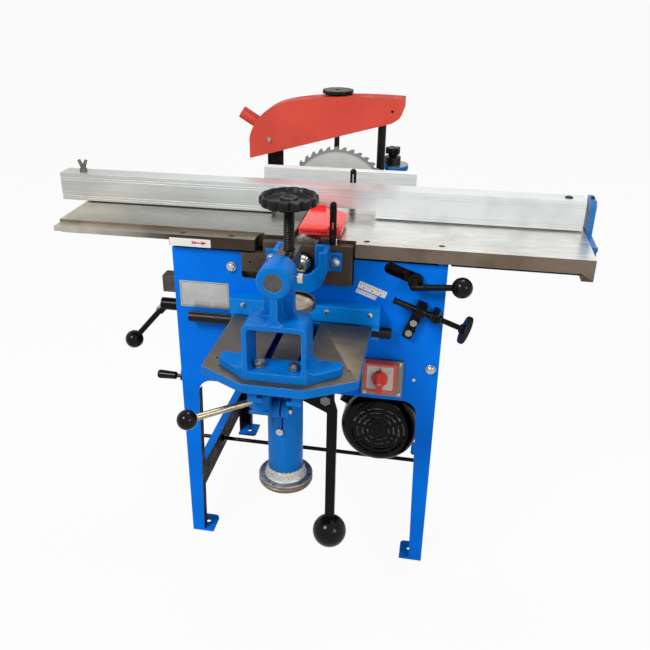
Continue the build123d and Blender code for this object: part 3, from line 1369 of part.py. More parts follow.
# Saw guard and its star wheel
g_tip = (-206.0, saw_top + 51.0)
g_left = (-206.5, saw_top + 98.0)
g_nose = (147.0, saw_top + 196.5)
g_low = (121.0, saw_top + 143.0)
g_curve = [
    g_left,
    (-200.0, saw_top + 118.0),
    (-182.0, saw_top + 146.0),
    (-156.0, saw_top + 167.5),
    (-122.0, saw_top + 181.5),
    (-69.0, saw_top + 191.0),
    (-9.0, saw_top + 196.5),
    (70.0, saw_top + 198.5),
    g_nose,
]
g_end = [(147.0, saw_top + 174.0), (139.0, saw_top + 155.5), g_low]
g_pts = curve(g_curve, 5) + curve(g_end, 4) + [g_tip]
g_gaps = [guard_t] * len(g_pts)
g_gaps[-2] = -4.0
g_y0 = blade_mid - 22
g_y1 = g_y0 + guard_w
saw_guard = xz(g_pts, g_y0, g_y1)
hollow = xz(inset(g_pts, g_gaps), g_y0 + guard_t, g_y1 - guard_t)
pipe_y = g_y0 + guard_w / 2
pipe_base = (-176.0, pipe_y, saw_top + 121.0)
pipe_tip = (-228.5, pipe_y, saw_top + 152.5)
pipe_past = tuple(b + 1.22 * (t - b) for b, t in zip(pipe_base, pipe_tip))
saw_guard += rod(pipe_base, pipe_tip, 14)
saw_guard -= hollow
saw_guard -= rod(pipe_base, pipe_past, 12)
saw_guard += cyl((gp_x, gp_y, saw_top + 143), (0, 0, 1), 13, 54)
saw_guard -= cyl((gp_x, gp_y, saw_top + 90), (0, 0, 1), gp_d / 2 + thread_gap, 104)
saw_guard -= cyl((gs_x, gp_y, saw_top + 100), (0, 0, 1), gs_d / 2 + thread_gap, 150)
saw_guard -= cyl((g_low[0] + 1, g_y0 - 1, g_low[1] + 26.5), (0, 1, 0), 3, 8)
guard_bolt = cyl((guard_bolt_x, g_y0 - 3, guard_bolt_z), (0, 1, 0), bolt_d / 2, guard_w + 6)
guard_bolt += cyl((guard_bolt_x, g_y0 - 4, guard_bolt_z), (0, 1, 0), bolt_d / 2 + 1, 4)
guard_bolt += hexagon((guard_bolt_x, g_y1, guard_bolt_z), (0, 1, 0), 13, 6)
saw_guard -= cyl((guard_bolt_x, g_y0 - 9, guard_bolt_z), (0, 1, 0), bolt_d / 2, 99)
add("saw_guard", saw_guard, guard_bolt)

star_z = g_nose[1] + 1.0
star = lobed((gs_x, gp_y, star_z + star_rise), (0, 0, 1), star_d / 2, 10, 5, 2.5, star_t)
star += cyl((gs_x, gp_y, star_z), (0, 0, 1), 10, star_rise + 1)
star -= cyl((gs_x, gp_y, star_z - 1), (0, 0, 1), gs_d / 2 + thread_gap, 20)
add("star_wheel", star)

# Rotary switch
sw = switch_size / 2
sw_y = F - switch_back
backing = bx(switch_x - 37.5, switch_x + 44.5, sw_y, F, switch_z - 48, switch_z + 34)
housing = bx(switch_x - sw, switch_x + sw, sw_y - switch_depth, sw_y, switch_z - sw, switch_z + sw)
housing = fillet(housing.edges().filter_by(Axis.Y), 5)
knob_y = sw_y - switch_depth
face_h = sw - 5
housing -= Pos(switch_x, knob_y, switch_z) * bx(-face_h, face_h, -1, 1.5, -face_h, face_h)
stem = cyl((switch_x, knob_y - 2, switch_z), (0, 1, 0), 4, 12)
housing -= cyl((switch_x, knob_y - 2, switch_z), (0, 1, 0), 4 + run_fit, 12)
add("switch_box", backing, housing)
turn_knob = stem + cyl((switch_x, knob_y - 5, switch_z), (0, 1, 0), 16, 6)
grip_pts = [
    (switch_x - 6.5, switch_z - 27),
    (switch_x + 6.5, switch_z - 27),
    (switch_x + 4, switch_z + 20),
    (switch_x - 4, switch_z + 20),
]
turn_knob += xz(grip_pts, knob_y - 17, knob_y - 2, grip_pts, 3)
add("switch_knob", turn_knob)

for name, pieces in nodes.items():
    flat = []
    for piece in pieces:
        flat.extend(piece.solids())
    shape = flat[0] if len(flat) == 1 else Compound(children=flat)
    shape.label = name
    export_step(shape, "parts/" + name + ".step")
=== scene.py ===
import json
from math import cos, floor, radians, sin, tau

import bmesh
import bpy
from mathutils import Matrix, Vector


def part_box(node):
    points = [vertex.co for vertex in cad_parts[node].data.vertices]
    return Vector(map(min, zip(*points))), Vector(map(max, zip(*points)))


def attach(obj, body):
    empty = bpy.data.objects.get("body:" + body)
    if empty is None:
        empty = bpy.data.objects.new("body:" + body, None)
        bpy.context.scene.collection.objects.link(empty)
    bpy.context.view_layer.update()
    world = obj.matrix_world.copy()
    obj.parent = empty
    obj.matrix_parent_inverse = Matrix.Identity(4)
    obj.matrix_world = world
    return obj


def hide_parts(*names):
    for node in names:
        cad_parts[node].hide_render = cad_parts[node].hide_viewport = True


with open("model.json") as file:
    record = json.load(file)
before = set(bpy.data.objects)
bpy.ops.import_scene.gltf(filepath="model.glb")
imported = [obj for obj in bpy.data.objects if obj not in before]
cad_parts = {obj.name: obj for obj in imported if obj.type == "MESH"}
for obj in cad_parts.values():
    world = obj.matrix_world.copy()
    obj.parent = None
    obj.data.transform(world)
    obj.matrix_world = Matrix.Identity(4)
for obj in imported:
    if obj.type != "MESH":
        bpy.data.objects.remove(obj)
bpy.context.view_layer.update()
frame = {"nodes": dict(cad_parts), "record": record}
nodes = frame["nodes"]
body_of_node = {n: body for body, names in frame["record"]["behaviour"]["bodies"].items() for n in names}
mm = 0.001

X = Vector((1, 0, 0))
Z = Vector((0, 0, 1))

# Places on the machine, in millimetres of the rest frame
slope = radians(20)
downhill = Vector((cos(slope), 0, -sin(slope)))
uphill = Vector((sin(slope), 0, cos(slope)))
infeed_top = 754.0
outfeed_top = 755.0
mortise_top = 597.0
slot_x = 30.0
spindle_z = 715.0
table_front = -243.0
screw_y = -380.0
column_y = -420.0
adjust_x = 240.0
adjust_y = -258.0
adjust_z = 630.0
plunge_hub = Vector((-32.5, -473))
switch_x = 156.5
switch_z = 478.0
switch_plate = 8.0


def tone(*values):
    """Linear colour from everyday values of 0 to 255."""
    return tuple(v / 3294.6 if v < 11 else ((v / 255 + 0.055) / 1.055) ** 2.4 for v in values)


def tint(colour, factor):
    return tuple(min(1.0, c * factor) for c in colour)


# Materials


class Finish:
    """A procedural material, with short calls for the few shader nodes used here."""

    def __init__(self, name, colour, roughness, metallic=0.0, **sockets):
        self.material = bpy.data.materials.new(name)
        self.material.use_nodes = True
        self.tree = self.material.node_tree
        self.shader = self.tree.nodes["Principled BSDF"]
        self.set("Base Color", (*colour, 1.0))
        self.set("Roughness", roughness)
        self.set("Metallic", metallic)
        for socket, value in sockets.items():
            self.set(socket.replace("_", " "), value)
        self.place = self.add("TexCoord").outputs["Object"]

    def add(self, kind):
        return self.tree.nodes.new("ShaderNode" + kind)

    def link(self, source, target):
        self.tree.links.new(source, target)

    def set(self, socket, value):
        self.shader.inputs[socket].default_value = value

    def mapped(self, source, socket, value):
        node = self.add("Mapping")
        node.inputs[socket].default_value = value
        self.link(source, node.inputs["Vector"])
        return node.outputs["Vector"]

    def noise(self, size, stretch=(1, 1, 1), detail=4.0, turn=(0, 0, 0)):
        """Noise with blotches about size metres wide, drawn out by stretch and tilted by turn, in degrees."""
        place = self.place
        if any(turn):
            place = self.mapped(place, "Rotation", [radians(a) for a in turn])
        place = self.mapped(place, "Scale", [1 / (size * s) for s in stretch])
        noise = self.add("TexNoise")
        noise.inputs["Scale"].default_value = 1.0
        noise.inputs["Detail"].default_value = detail
        self.link(place, noise.inputs["Vector"])
        return noise.outputs["Fac"]

    def span(self, source, low, high, out_low=0.0, out_high=1.0):
        """Maps low to high onto out_low to out_high, held at both ends."""
        node = self.add("MapRange")
        node.inputs["From Min"].default_value = low
        node.inputs["From Max"].default_value = high
        node.inputs["To Min"].default_value = out_low
        node.inputs["To Max"].default_value = out_high
        self.link(source, node.inputs["Value"])
        return node.outputs["Result"]

    def math(self, operation, a, b):
        node = self.add("Math")
        node.operation = operation
        for socket, value in zip(node.inputs, (a, b)):
            if isinstance(value, float):
                socket.default_value = value
            else:
                self.link(value, socket)
        return node.outputs["Value"]

    def blend(self, amount, a, b):
        """The colour between a and b; each is a triple or another blend."""
        first, second, result = 6, 7, 2
        node = self.add("Mix")
        node.data_type = "RGBA"
        self.link(amount, node.inputs["Factor"])
        for socket, value in zip((node.inputs[first], node.inputs[second]), (a, b)):
            if isinstance(value, tuple):
                socket.default_value = (*value, 1.0)
            else:
                self.link(value, socket)
        return node.outputs[result]

    def axis(self, name):
        """One coordinate of the rest frame, in metres."""
        split = self.add("SeparateXYZ")
        self.link(self.place, split.inputs["Vector"])
        return split.outputs[name]

    def reach(self, middle):
        """Distance from an axis that runs along Y through a point of the rest frame, in metres."""
        flat = self.mapped(self.mapped(self.place, "Location", -middle), "Scale", (1, 0, 1))
        length = self.add("VectorMath")
        length.operation = "LENGTH"
        self.link(flat, length.inputs[0])
        return length.outputs["Value"]

    def rings(self, distance, width):
        """Noise that changes with a distance only."""
        noise = self.add("TexNoise")
        noise.noise_dimensions = "1D"
        noise.inputs["Scale"].default_value = 1 / width
        noise.inputs["Detail"].default_value = 2.0
        self.link(distance, noise.inputs["W"])
        return noise.outputs["Fac"]

    def edges(self, radius):
        """Near 0 on open faces, rising within that radius of an edge."""
        soft = self.add("Bevel")
        soft.inputs["Radius"].default_value = radius
        dot = self.add("VectorMath")
        dot.operation = "DOT_PRODUCT"
        self.link(soft.outputs["Normal"], dot.inputs[0])
        self.link(self.add("NewGeometry").outputs["Normal"], dot.inputs[1])
        return self.span(dot.outputs["Value"], 1.0, 0.85)

    def colour(self, source):
        self.link(source, self.shader.inputs["Base Color"])

    def rough(self, source):
        self.link(source, self.shader.inputs["Roughness"])

    def bump(self, height, depth, strength=1.0, soft=0.0):
        """Raises the surface by height times depth; soft rounds the look of edges by that radius."""
        node = self.add("Bump")
        if soft:
            edge = self.add("Bevel")
            edge.inputs["Radius"].default_value = soft
            self.link(edge.outputs["Normal"], node.inputs["Normal"])
        node.inputs["Distance"].default_value = depth
        node.inputs["Strength"].default_value = strength
        self.link(height, node.inputs["Height"])
        for socket in ("Normal", "Coat Normal"):
            self.link(node.outputs["Normal"], self.shader.inputs[socket])


def enamel(name, colour, roughness, specular, grain, depth, coat=0.0, rubbed_and_highlit=0.0, soft=0.0):
    """Paint: uneven tone, a little dust, the texture of what is under it and lighter edges, partly rubbed
    wear and partly painted highlight.
    """
    f = Finish(name, colour, roughness, Specular_IOR_Level=specular, Coat_Weight=coat, Coat_Roughness=0.06)
    shade = f.blend(f.span(f.noise(0.09), 0.3, 0.7), tint(colour, 0.9), tint(colour, 1.07))
    dust = f.span(f.noise(0.004, detail=8.0), 0.62, 0.85, 0.0, 0.1)
    shade = f.blend(dust, shade, tuple(0.8 * c + 0.06 for c in colour))
    # Edges made lighter in patches: partly rubbed paint, partly a painted highlight of the rounded edges.
    if rubbed_and_highlit:
        patches = f.span(f.noise(0.014, detail=8.0), 0.42, 0.62, 0.15, rubbed_and_highlit)
        worn_and_highlit = f.math("MULTIPLY", f.edges(max(1.6 * mm, soft)), patches)
        shade = f.blend(worn_and_highlit, shade, tuple(1.25 * c + 0.13 for c in colour))
    f.colour(shade)
    f.rough(f.span(f.noise(0.03), 0.3, 0.7, roughness * 0.75, roughness * 1.4))
    f.bump(f.noise(grain, detail=3.0), depth, soft=soft)
    return f.material


def ground(name, colour, lines, roughness, stain, stained=0.35, turn=(0, 0, 0), metallic=0.9, painted_sheen=None):
    """Ground, milled or drawn metal: fine lines along one way, faint stains and lighter edges.

    paler is (from, to, colour): between those X the tone goes over to the other colour, a painted sheen of
    light along the part.
    """
    f = Finish(name, colour, roughness, metallic)
    streak = f.noise(0.0011, lines, 2.0, turn)
    shade = f.blend(f.span(streak, 0.3, 0.7), tint(colour, 0.84), tint(colour, 1.14))
    # Painted sheen: the tone goes lighter between the given X, as light falls along the part.
    if painted_sheen:
        shade = f.blend(f.span(f.axis("X"), painted_sheen[0], painted_sheen[1], 0.0, 0.85), shade, painted_sheen[2])
    blot = f.span(f.noise(0.07, detail=6.0), 0.48, 0.74, 0.0, stained)
    shade = f.blend(blot, shade, stain)
    # Lighter edges: partly worn metal, partly a painted highlight of the edges.
    worn_and_highlit = f.span(f.edges(0.9 * mm), 0.0, 1.0, 0.0, 0.45)
    f.colour(f.blend(worn_and_highlit, shade, tuple(0.45 * c + 0.35 for c in colour)))
    f.rough(f.span(streak, 0.25, 0.75, roughness * 0.8, roughness * 1.3))
    f.bump(streak, 0.00005, 0.5)
    return f.material


def metal(name, colour, roughness, grain=0.002, depth=0.00003, spots=0.2):
    """Plain machined or plated metal with slight handling marks."""
    f = Finish(name, colour, roughness, 0.95)
    marks = f.noise(grain * 5, detail=6.0)
    f.colour(f.blend(f.span(marks, 0.35, 0.7), tint(colour, 1.0 - spots), tint(colour, 1.0 + 0.6 * spots)))
    f.rough(f.span(marks, 0.3, 0.7, roughness * 0.75, roughness * 1.4))
    f.bump(f.noise(grain), depth)
    return f.material


def blade(name, colour, middle, radius):
    """Saw blade: turned rings, a darker toothed edge and a soft sheen from the hub outwards."""
    f = Finish(name, colour, 0.32, 0.45)
    distance = f.reach(middle)
    ring = f.rings(distance, 0.0012)
    shade = f.blend(f.span(ring, 0.3, 0.7), tint(colour, 0.88), tint(colour, 1.1))
    shade = f.blend(f.span(f.noise(0.05, (1, 1, 3)), 0.4, 0.65, 0.0, 0.4), shade, tint(colour, 0.72))
    f.colour(f.blend(f.span(distance, radius - 0.016, radius - 0.012), shade, tint(colour, 0.4)))
    f.rough(f.span(ring, 0.25, 0.75, 0.26, 0.42))
    f.bump(ring, 0.00004, 0.5)
    return f.material


def moulded(name, colour, roughness, specular=0.3, grain=0.0015, depth=0.00005, coat=0.0):
    """Moulded plastic, rubber or print with a fine skin and a little workshop dust."""
    f = Finish(name, colour, roughness, Specular_IOR_Level=specular, Coat_Weight=coat, Coat_Roughness=0.06)
    dust = f.span(f.noise(0.02, detail=8.0), 0.5, 0.8, 0.0, 0.3)
    f.colour(f.blend(dust, colour, tuple(c * 0.85 + 0.012 for c in colour)))
    f.rough(f.span(f.noise(0.012), 0.3, 0.7, roughness * 0.8, roughness * 1.35))
    f.bump(f.noise(grain), depth)
    return f.material


along_x = (70, 1, 1)
along_z = (1, 1, 70)
drawn = (90, 1, 1)
blade_low, blade_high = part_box("saw_blade")
blade_middle = (blade_low + blade_high) / 2
blade_radius = (blade_high.z - blade_low.z) / 2

finishes = {
    "sheet_blue": enamel("sheet_blue", tone(2, 112, 222), 0.34, 0.04, 0.0016, 0.00004, 0.0, 0.2),
    "cast_blue": enamel("cast_blue", tone(0, 106, 188), 0.3, 0.02, 0.0045, 0.0009, 0.12, 0.7, 3.2 * mm),
    # A brighter copy of the casting blue for the guide bar: painted light against the shadow it sits in.
    "guide_blue_painted_light": enamel("guide_blue_painted_light", tone(0, 128, 218), 0.3, 0.02, 0.0045, 0.0009, 0.2, 0.7, 2.0 * mm),
    "worn_blue": enamel("worn_blue", tone(44, 104, 168), 0.32, 0.1, 0.0045, 0.0005, 0.1, 0.6),
    # Dark blue for the table's slots: painted shade in the recesses.
    "slot_blue_painted_shade": enamel("slot_blue_painted_shade", tone(4, 24, 92), 0.5, 0.06, 0.003, 0.0001),
    # Near-black with a brownish tint: painted shade for insides and holes.
    "dark_painted_shade": enamel("dark_painted_shade", tone(30, 22, 22), 0.6, 0.1, 0.002, 0.00006),
    "guard_red": enamel("guard_red", tone(206, 76, 62), 0.5, 0.12, 0.0018, 0.00004, 0.0, 0.2),
    # Darker red for the guard's top faces: painted shade that evens out the light from above.
    "guard_red_top_painted_shade": enamel("guard_red_top_painted_shade", tone(168, 58, 46), 0.5, 0.08, 0.0018, 0.00004),
    "cutter_red": enamel("cutter_red", tone(218, 46, 40), 0.2, 0.3, 0.002, 0.00008, 0.35, 0.4),
    "black_paint": enamel("black_paint", tone(12, 12, 12), 0.26, 0.05, 0.003, 0.00012, 0.06, 0.2),
    "gloss_black": enamel("gloss_black", tone(7, 7, 7), 0.2, 0.04, 0.004, 0.00008, 0.12, 0.0, 2.0 * mm),
    "block_iron": ground("block_iron", tone(84, 72, 61), along_z, 0.5, tone(56, 47, 39), 0.6),
    # Infeed top in a very light tone: a painted reflection of bright light on the ground iron.
    "infeed_iron_painted_reflection": ground("infeed_iron_painted_reflection", tone(228, 227, 222), along_x, 0.28, tone(160, 152, 140)),
    # The outfeed top goes lighter towards the left end: painted sheen.
    "outfeed_iron": ground("outfeed_iron", tone(124, 123, 117), along_x, 0.28, tone(100, 95, 84),
                           painted_sheen=(-0.36, -0.56, tone(204, 198, 182))),
    # Milled side faces of the tables, their tone darkened as a painted dark reflection.
    "edge_iron_dark_reflection": ground("edge_iron_dark_reflection", tone(118, 105, 91), (1, 1, 14), 0.42, tone(78, 64, 51), 0.6, (0, 42, 0)),
    # Ledge faces and ledge top go lighter towards the left end: painted sheen.
    "ledge_iron": ground("ledge_iron", tone(66, 56, 46), along_x, 0.42, tone(44, 36, 29), 0.5,
                         painted_sheen=(-0.26, -0.5, tone(222, 214, 198))),
    "ledge_top": ground("ledge_top", tone(120, 115, 103), along_x, 0.36, tone(88, 81, 69), 0.5,
                        painted_sheen=(-0.3, -0.52, tone(208, 204, 194))),
    "mortise_iron": ground("mortise_iron", tone(118, 108, 92), (22, 1, 1), 0.42, tone(90, 80, 64), 0.5,
                           (0, 0, 24)),
    # The fence goes lighter from its left end towards the right: painted sheen.
    "extruded": ground("extruded", tone(178, 179, 174), drawn, 0.34, tone(164, 165, 160), 0.35,
                       metallic=0.75, painted_sheen=(-0.5, -0.05, tone(220, 224, 226))),
    "rip_alloy": ground("rip_alloy", tone(228, 231, 231), drawn, 0.4, tone(212, 215, 214), 0.3,
                        metallic=0.3),
    "cast_alloy": metal("cast_alloy", tone(190, 189, 184), 0.5, 0.0006, 0.0003, 0.4),
    "rim_steel": metal("rim_steel", tone(150, 150, 148), 0.42, 0.003, 0.00004, 0.25),
    "rim_brown": metal("rim_brown", tone(124, 112, 98), 0.36, 0.003, 0.00006, 0.4),
    "steel": metal("steel", tone(150, 149, 144), 0.3),
    "rod_steel": metal("rod_steel", tone(160, 148, 126), 0.3, 0.003, 0.00003, 0.3),
    "bright_steel": metal("bright_steel", tone(190, 190, 187), 0.2),
    "nose_steel": metal("nose_steel", tone(170, 165, 153), 0.28),
    "galvanised": metal("galvanised", tone(126, 119, 110), 0.38, 0.004, 0.00004, 0.12),
    "dark_steel": metal("dark_steel", tone(38, 36, 33), 0.36),
    "wing_steel": metal("wing_steel", tone(112, 110, 104), 0.36),
    "block_grey": metal("block_grey", tone(84, 80, 72), 0.45, 0.003, 0.0001),
    "bar_steel": metal("bar_steel", tone(92, 89, 86), 0.36),
    "pad_floor": metal("pad_floor", tone(186, 179, 160), 0.4, 0.004, 0.00004, 0.2),
    "knife_steel": metal("knife_steel", tone(206, 206, 202), 0.2),
    "blade_steel": blade("blade_steel", tone(226, 227, 224), blade_middle, blade_radius),
    "black_plastic": moulded("black_plastic", tone(17, 17, 16), 0.34, 0.16),
    "ball_black": moulded("ball_black", tone(8, 8, 8), 0.14, 0.1, coat=0.1),
    "rubber": moulded("rubber", tone(34, 34, 34), 0.7, 0.2, 0.003, 0.0002),
    "switch_red": moulded("switch_red", tone(218, 84, 72), 0.34),
    "knob_red": moulded("knob_red", tone(214, 58, 36), 0.3),
    "switch_face": moulded("switch_face", tone(200, 192, 183), 0.45),
    "satin_plate": metal("satin_plate", tone(184, 184, 185), 0.36, 0.004, 0.00003, 0.1),
    "label_white": moulded("label_white", tone(222, 220, 214), 0.45),
    "ink": moulded("ink", tone(44, 42, 44), 0.5),
    "ink_red": moulded("ink_red", tone(178, 30, 44), 0.5),
}


# Solid pieces and their finishes


def paint(node, finish, where=None):
    """Gives a node's faces a finish: all of them, or those whose middle and normal pass the test."""
    mesh = nodes[node].data
    if where is None:
        mesh.materials.clear()
    mesh.materials.append(finishes[finish])
    if where is None:
        return
    index = len(mesh.materials) - 1
    for face in mesh.polygons:
        if where(face.center / mm, face.normal):
            face.material_index = index


def near(x, y, z, radius):
    """Faces within a radius of a point, in millimetres."""
    middle = Vector((x, y, z))
    return lambda c, n: (c - middle).length < radius


plain_finish = {
    "sheet_blue": ["stand_cabinet"],
    "cast_blue": ["chuck_guard", "fence_bracket_left", "mortise_knee", "table_saddle", "hold_down_frame",
                  "plunge_lever", "mitre_head", "mortise_table"],
    # The guide bar takes the brighter blue: painted light.
    "guide_blue_painted_light": ["mortise_guide"],
    "worn_blue": ["fence_bracket_right"],
    "block_grey": ["left_side_blocks"],
    "guard_red": ["saw_guard"],
    "cutter_red": ["cutter_guard"],
    "block_iron": ["planer_body", "spindle_pulley", "motor_pulley", "infeed_table"],
    "ledge_iron": ["outfeed_table"],
    "black_paint": ["motor_housing", "motor_plate", "infeed_clamp_lever", "knee_fittings", "infeed_fittings",
                    "lift_crank", "outfeed_clamp_lever", "guard_posts"],
    "gloss_black": ["cross_lever", "motor_fan_cover", "tie_rod"],
    "outfeed_iron": ["saw_table"],
    "extruded": ["planer_fence"],
    "rip_alloy": ["rip_fence"],
    "steel": ["spindle_bearings", "spindle", "cutterblock", "saw_flanges", "motor_rotor", "hold_down_bolts",
              "mitre_bar"],
    "bright_steel": ["panel_fittings"],
    "cast_alloy": ["lift_handwheel"],
    "bar_steel": ["press_bar", "press_pad"],
    "dark_steel": ["mortise_chuck", "adjust_screw", "outfeed_screws", "guide_rod",
                   "press_screw", "riving_knife", "saw_guard_posts"],
    "blade_steel": ["saw_blade"],
    "knife_steel": ["planer_knives"],
    "wing_steel": ["fence_wing_screw"],
    "black_plastic": ["mitre_knob", "star_wheel"],
    "rubber": ["v_belts"],
    "switch_red": ["switch_box"],
    "knob_red": ["switch_knob"],
    "satin_plate": ["nameplate"],
}
for finish, names in plain_finish.items():
    for name in names:
        paint(name, finish)

ball_nodes = {"infeed_clamp_lever": (298, -263, 691, 21), "outfeed_clamp_lever": (-384, -200, 486, 21),
              "plunge_lever": (-137, -561, 540.5, 19), "cross_lever": (88, -430, 231, 34)}
for name, ball in ball_nodes.items():
    paint(name, "ball_black", near(*ball))
paint("plunge_lever", "rod_steel", lambda c, n: 19.5 < (c.xy - plunge_hub).length < 118)
# Inner faces of the cabinet walls dark brownish: painted shade inside the cabinet.
paint("stand_cabinet", "dark_painted_shade", lambda c, n: n.x * c.x < -100 or n.y * c.y < -100)
# Infeed top gets the very light tone that stands for a painted reflection.
paint("infeed_table", "infeed_iron_painted_reflection", lambda c, n: n.z > 0.9 and c.z > infeed_top - 1)
# Milled side faces darkened: painted dark reflection.
paint("infeed_table", "edge_iron_dark_reflection", lambda c, n: c.x > 94 and abs(n.z) < 0.5 and c.z > 726)
paint("infeed_table", "black_paint", lambda c, n: -226 < c.y < -213 and c.z < 727)
paint("outfeed_table", "outfeed_iron", lambda c, n: n.z > 0.9 and c.z > outfeed_top - 1)
paint("outfeed_table", "ledge_top", lambda c, n: n.z > 0.9 and outfeed_top - 10 < c.z < outfeed_top - 3)
# Milled side faces darkened: painted dark reflection.
paint("outfeed_table", "edge_iron_dark_reflection", lambda c, n: abs(n.z) < 0.5 and c.z > outfeed_top - 6)
below = mortise_top - 0.1
paint("mortise_table", "mortise_iron", lambda c, n: n.z > 0.9 and c.z > mortise_top - 1)
# Slot insides in dark blue: painted shade in the recesses.
paint("mortise_table", "slot_blue_painted_shade",
      lambda c, n: abs(abs(c.x) - slot_x) < 11 and mortise_top - 19 < c.z < below and c.y > -521)
# Small holes in the mortise table lined dark: painted shade in the holes.
for x in (-118, 118):
    paint("mortise_table", "dark_painted_shade", lambda c, n: (c.xy - Vector((x, -442))).length < 4 and c.z < below)
paint("infeed_fittings", "steel", lambda c, n: c.y < -242.2 and c.z < 612)
paint("infeed_fittings", "dark_steel", lambda c, n: c.z > 735)
paint("knee_fittings", "wing_steel", near(77, -440, 531, 15))
for place in ((18, -460, 515.5, 11), (-2, -457, 465, 9.5)):
    paint("knee_fittings", "bright_steel", near(*place))
paint("hold_down_bolts", "bright_steel", lambda c, n: c.z > 700)
# Top faces of the saw guard in darker red: painted shade against the light from above.
paint("saw_guard", "guard_red_top_painted_shade", lambda c, n: n.z > 0.5 and c.z > 840)
paint("saw_guard", "bright_steel", near(-158.5, 145, 854, 7))
paint("planer_fence", "dark_steel", lambda c, n: c.z > 816.2)
paint("planer_fence", "steel", lambda c, n: c.y > -47)
paint("fence_bracket_right", "dark_steel", lambda c, n: c.z > 817.2)
paint("mitre_head", "steel", lambda c, n: n.z > 0.9 and c.z < 789.5)
paint("mitre_head", "black_plastic", lambda c, n: c.z > 789.5)
paint("lift_crank", "ball_black", lambda c, n: c.x < -303)
paint("outfeed_clamp_lever", "bright_steel", lambda c, n: c.x < -311 and c.z > 570)
switch_low, switch_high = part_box("switch_box")
panel_y = switch_high.y / mm
switch_front = switch_low.y / mm
paint("switch_box", "galvanised", lambda c, n: c.y > panel_y - switch_plate - 0.1)


# Visible pieces


class Shape:
    """One visible piece, gathered from turned and cut forms. Sizes are in millimetres."""

    def __init__(self, name):
        self.name = name
        self.form = bmesh.new()
        self.finishes = []

    def slot(self, finish):
        if finish not in self.finishes:
            self.finishes.append(finish)
        return self.finishes.index(finish)

    def skin(self, loops, finish, closed=True):
        """Faces from loop to loop; a loop of one point, or a flat face if closed, shuts an end."""
        rows = [[self.form.verts.new(p * mm) for p in loop] for loop in loops]
        made = []
        for low, high in zip(rows, rows[1:]):
            for i in range(max(len(low), len(high))):
                j = i + 1
                ring = [low[i % len(low)], low[j % len(low)], high[j % len(high)], high[i % len(high)]]
                made.append(self.form.faces.new(list(dict.fromkeys(ring))))
        for end in (rows[0], rows[-1]):
            if closed and len(end) > 2:
                made.append(self.form.faces.new(end))
        for face in made:
            face.material_index = self.slot(finish)
        if closed:
            bmesh.ops.recalc_face_normals(self.form, faces=made)

    def turned(self, place, profile, finish, steps=48, wave=None, closed=True):
        """Turns (radius, height) pairs round the place's own Z axis; wave adds to a radius by angle."""
        loops = []
        for r, h in profile:
            if r == 0:
                loops.append([place @ Vector((0, 0, h))])
                continue
            sizes = [(tau * i / steps, r) for i in range(steps)]
            if wave:
                sizes = [(a, r + wave(a, r, h)) for a, r in sizes]
            loops.append([place @ Vector((s * cos(a), s * sin(a), h)) for a, s in sizes])
        self.skin(loops, finish, closed)

    def banded(self, place, bands, steps):
        """One turned form in bands of (finish, profile), each starting where the one before it ends."""
        first = len(self.form.verts)
        for finish, profile in bands:
            self.turned(place, profile, finish, steps, closed=False)
        self.form.verts.ensure_lookup_table()
        made = self.form.verts[first:]
        bmesh.ops.remove_doubles(self.form, verts=made, dist=0.001 * mm)
        self.form.verts.ensure_lookup_table()
        faces = dict.fromkeys(face for vert in self.form.verts[first:] for face in vert.link_faces)
        bmesh.ops.recalc_face_normals(self.form, faces=list(faces))

    def threaded(self, place, radius, depth, pitch, low, high, finish, steps=28, per_turn=6):
        """A screw thread cut to a depth into a rod of that radius."""
        count = int((high - low) / pitch * per_turn)
        heights = [low + (high - low) * i / count for i in range(count + 1)]

        def wave(a, r, h):
            turn = h / pitch - a / tau
            return -depth * abs(2 * (turn - floor(turn)) - 1)

        self.turned(place, [(radius, h) for h in heights], finish, steps, wave)

    def prism(self, place, outline, low, high, finish, bevel=0.0):
        """An outline raised from low to high, its upper edge taken off by bevel."""
        middle = sum((Vector(p) for p in outline), Vector((0, 0))) / len(outline)
        inner = []
        for p in outline:
            away = Vector(p) - middle
            inner.append(middle + away * (1 - bevel / max(away.length, bevel, 0.001)))
        foot = [place @ Vector((*p, low)) for p in outline]
        shoulder = [place @ Vector((*p, high - bevel)) for p in outline]
        loops = [foot, shoulder]
        if bevel:
            loops.append([place @ Vector((*p, high)) for p in inner])
        self.skin(loops, finish)

    def piece(self, node, *replaced, sharp=32):
        """Makes the object, which rides on the node's body and hides the nodes it replaces."""
        mesh = bpy.data.meshes.new(self.name)
        self.form.to_mesh(mesh)
        self.form.free()
        for finish in self.finishes:
            mesh.materials.append(finishes[finish])
        mesh.shade_smooth()
        mesh.set_sharp_from_angle(angle=radians(sharp))
        made = bpy.data.objects.new(self.name, mesh)
        bpy.context.scene.collection.objects.link(made)
        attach(made, body_of_node[node])
        if replaced:
            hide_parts(*replaced)


def facing(origin, across, up):
    """A place whose X runs across, Y runs up and Z stands off the surface towards the viewer."""
    place = Matrix((across, up, across.cross(up))).transposed().to_4x4()
    place.translation = Vector(origin)
    return place


def along(origin, direction):
    """A place whose Z axis runs along a direction."""
    place = Vector(direction).to_track_quat("Z", "Y").to_matrix().to_4x4()
    place.translation = Vector(origin)
    return place


def rounded(x0, x1, y0, y1, radius, steps=5):
    """The outline of a rectangle with round corners."""
    points = []
    corners = ((x1, y1, 0), (x0, y1, 90), (x0, y0, 180), (x1, y0, 270))
    for x, y, start in corners:
        cx = x - radius if x == x1 else x + radius
        cy = y - radius if y == y1 else y + radius
        for i in range(steps + 1):
            a = radians(start + 90 * i / steps)
            points.append((cx + radius * cos(a), cy + radius * sin(a)))
    return points


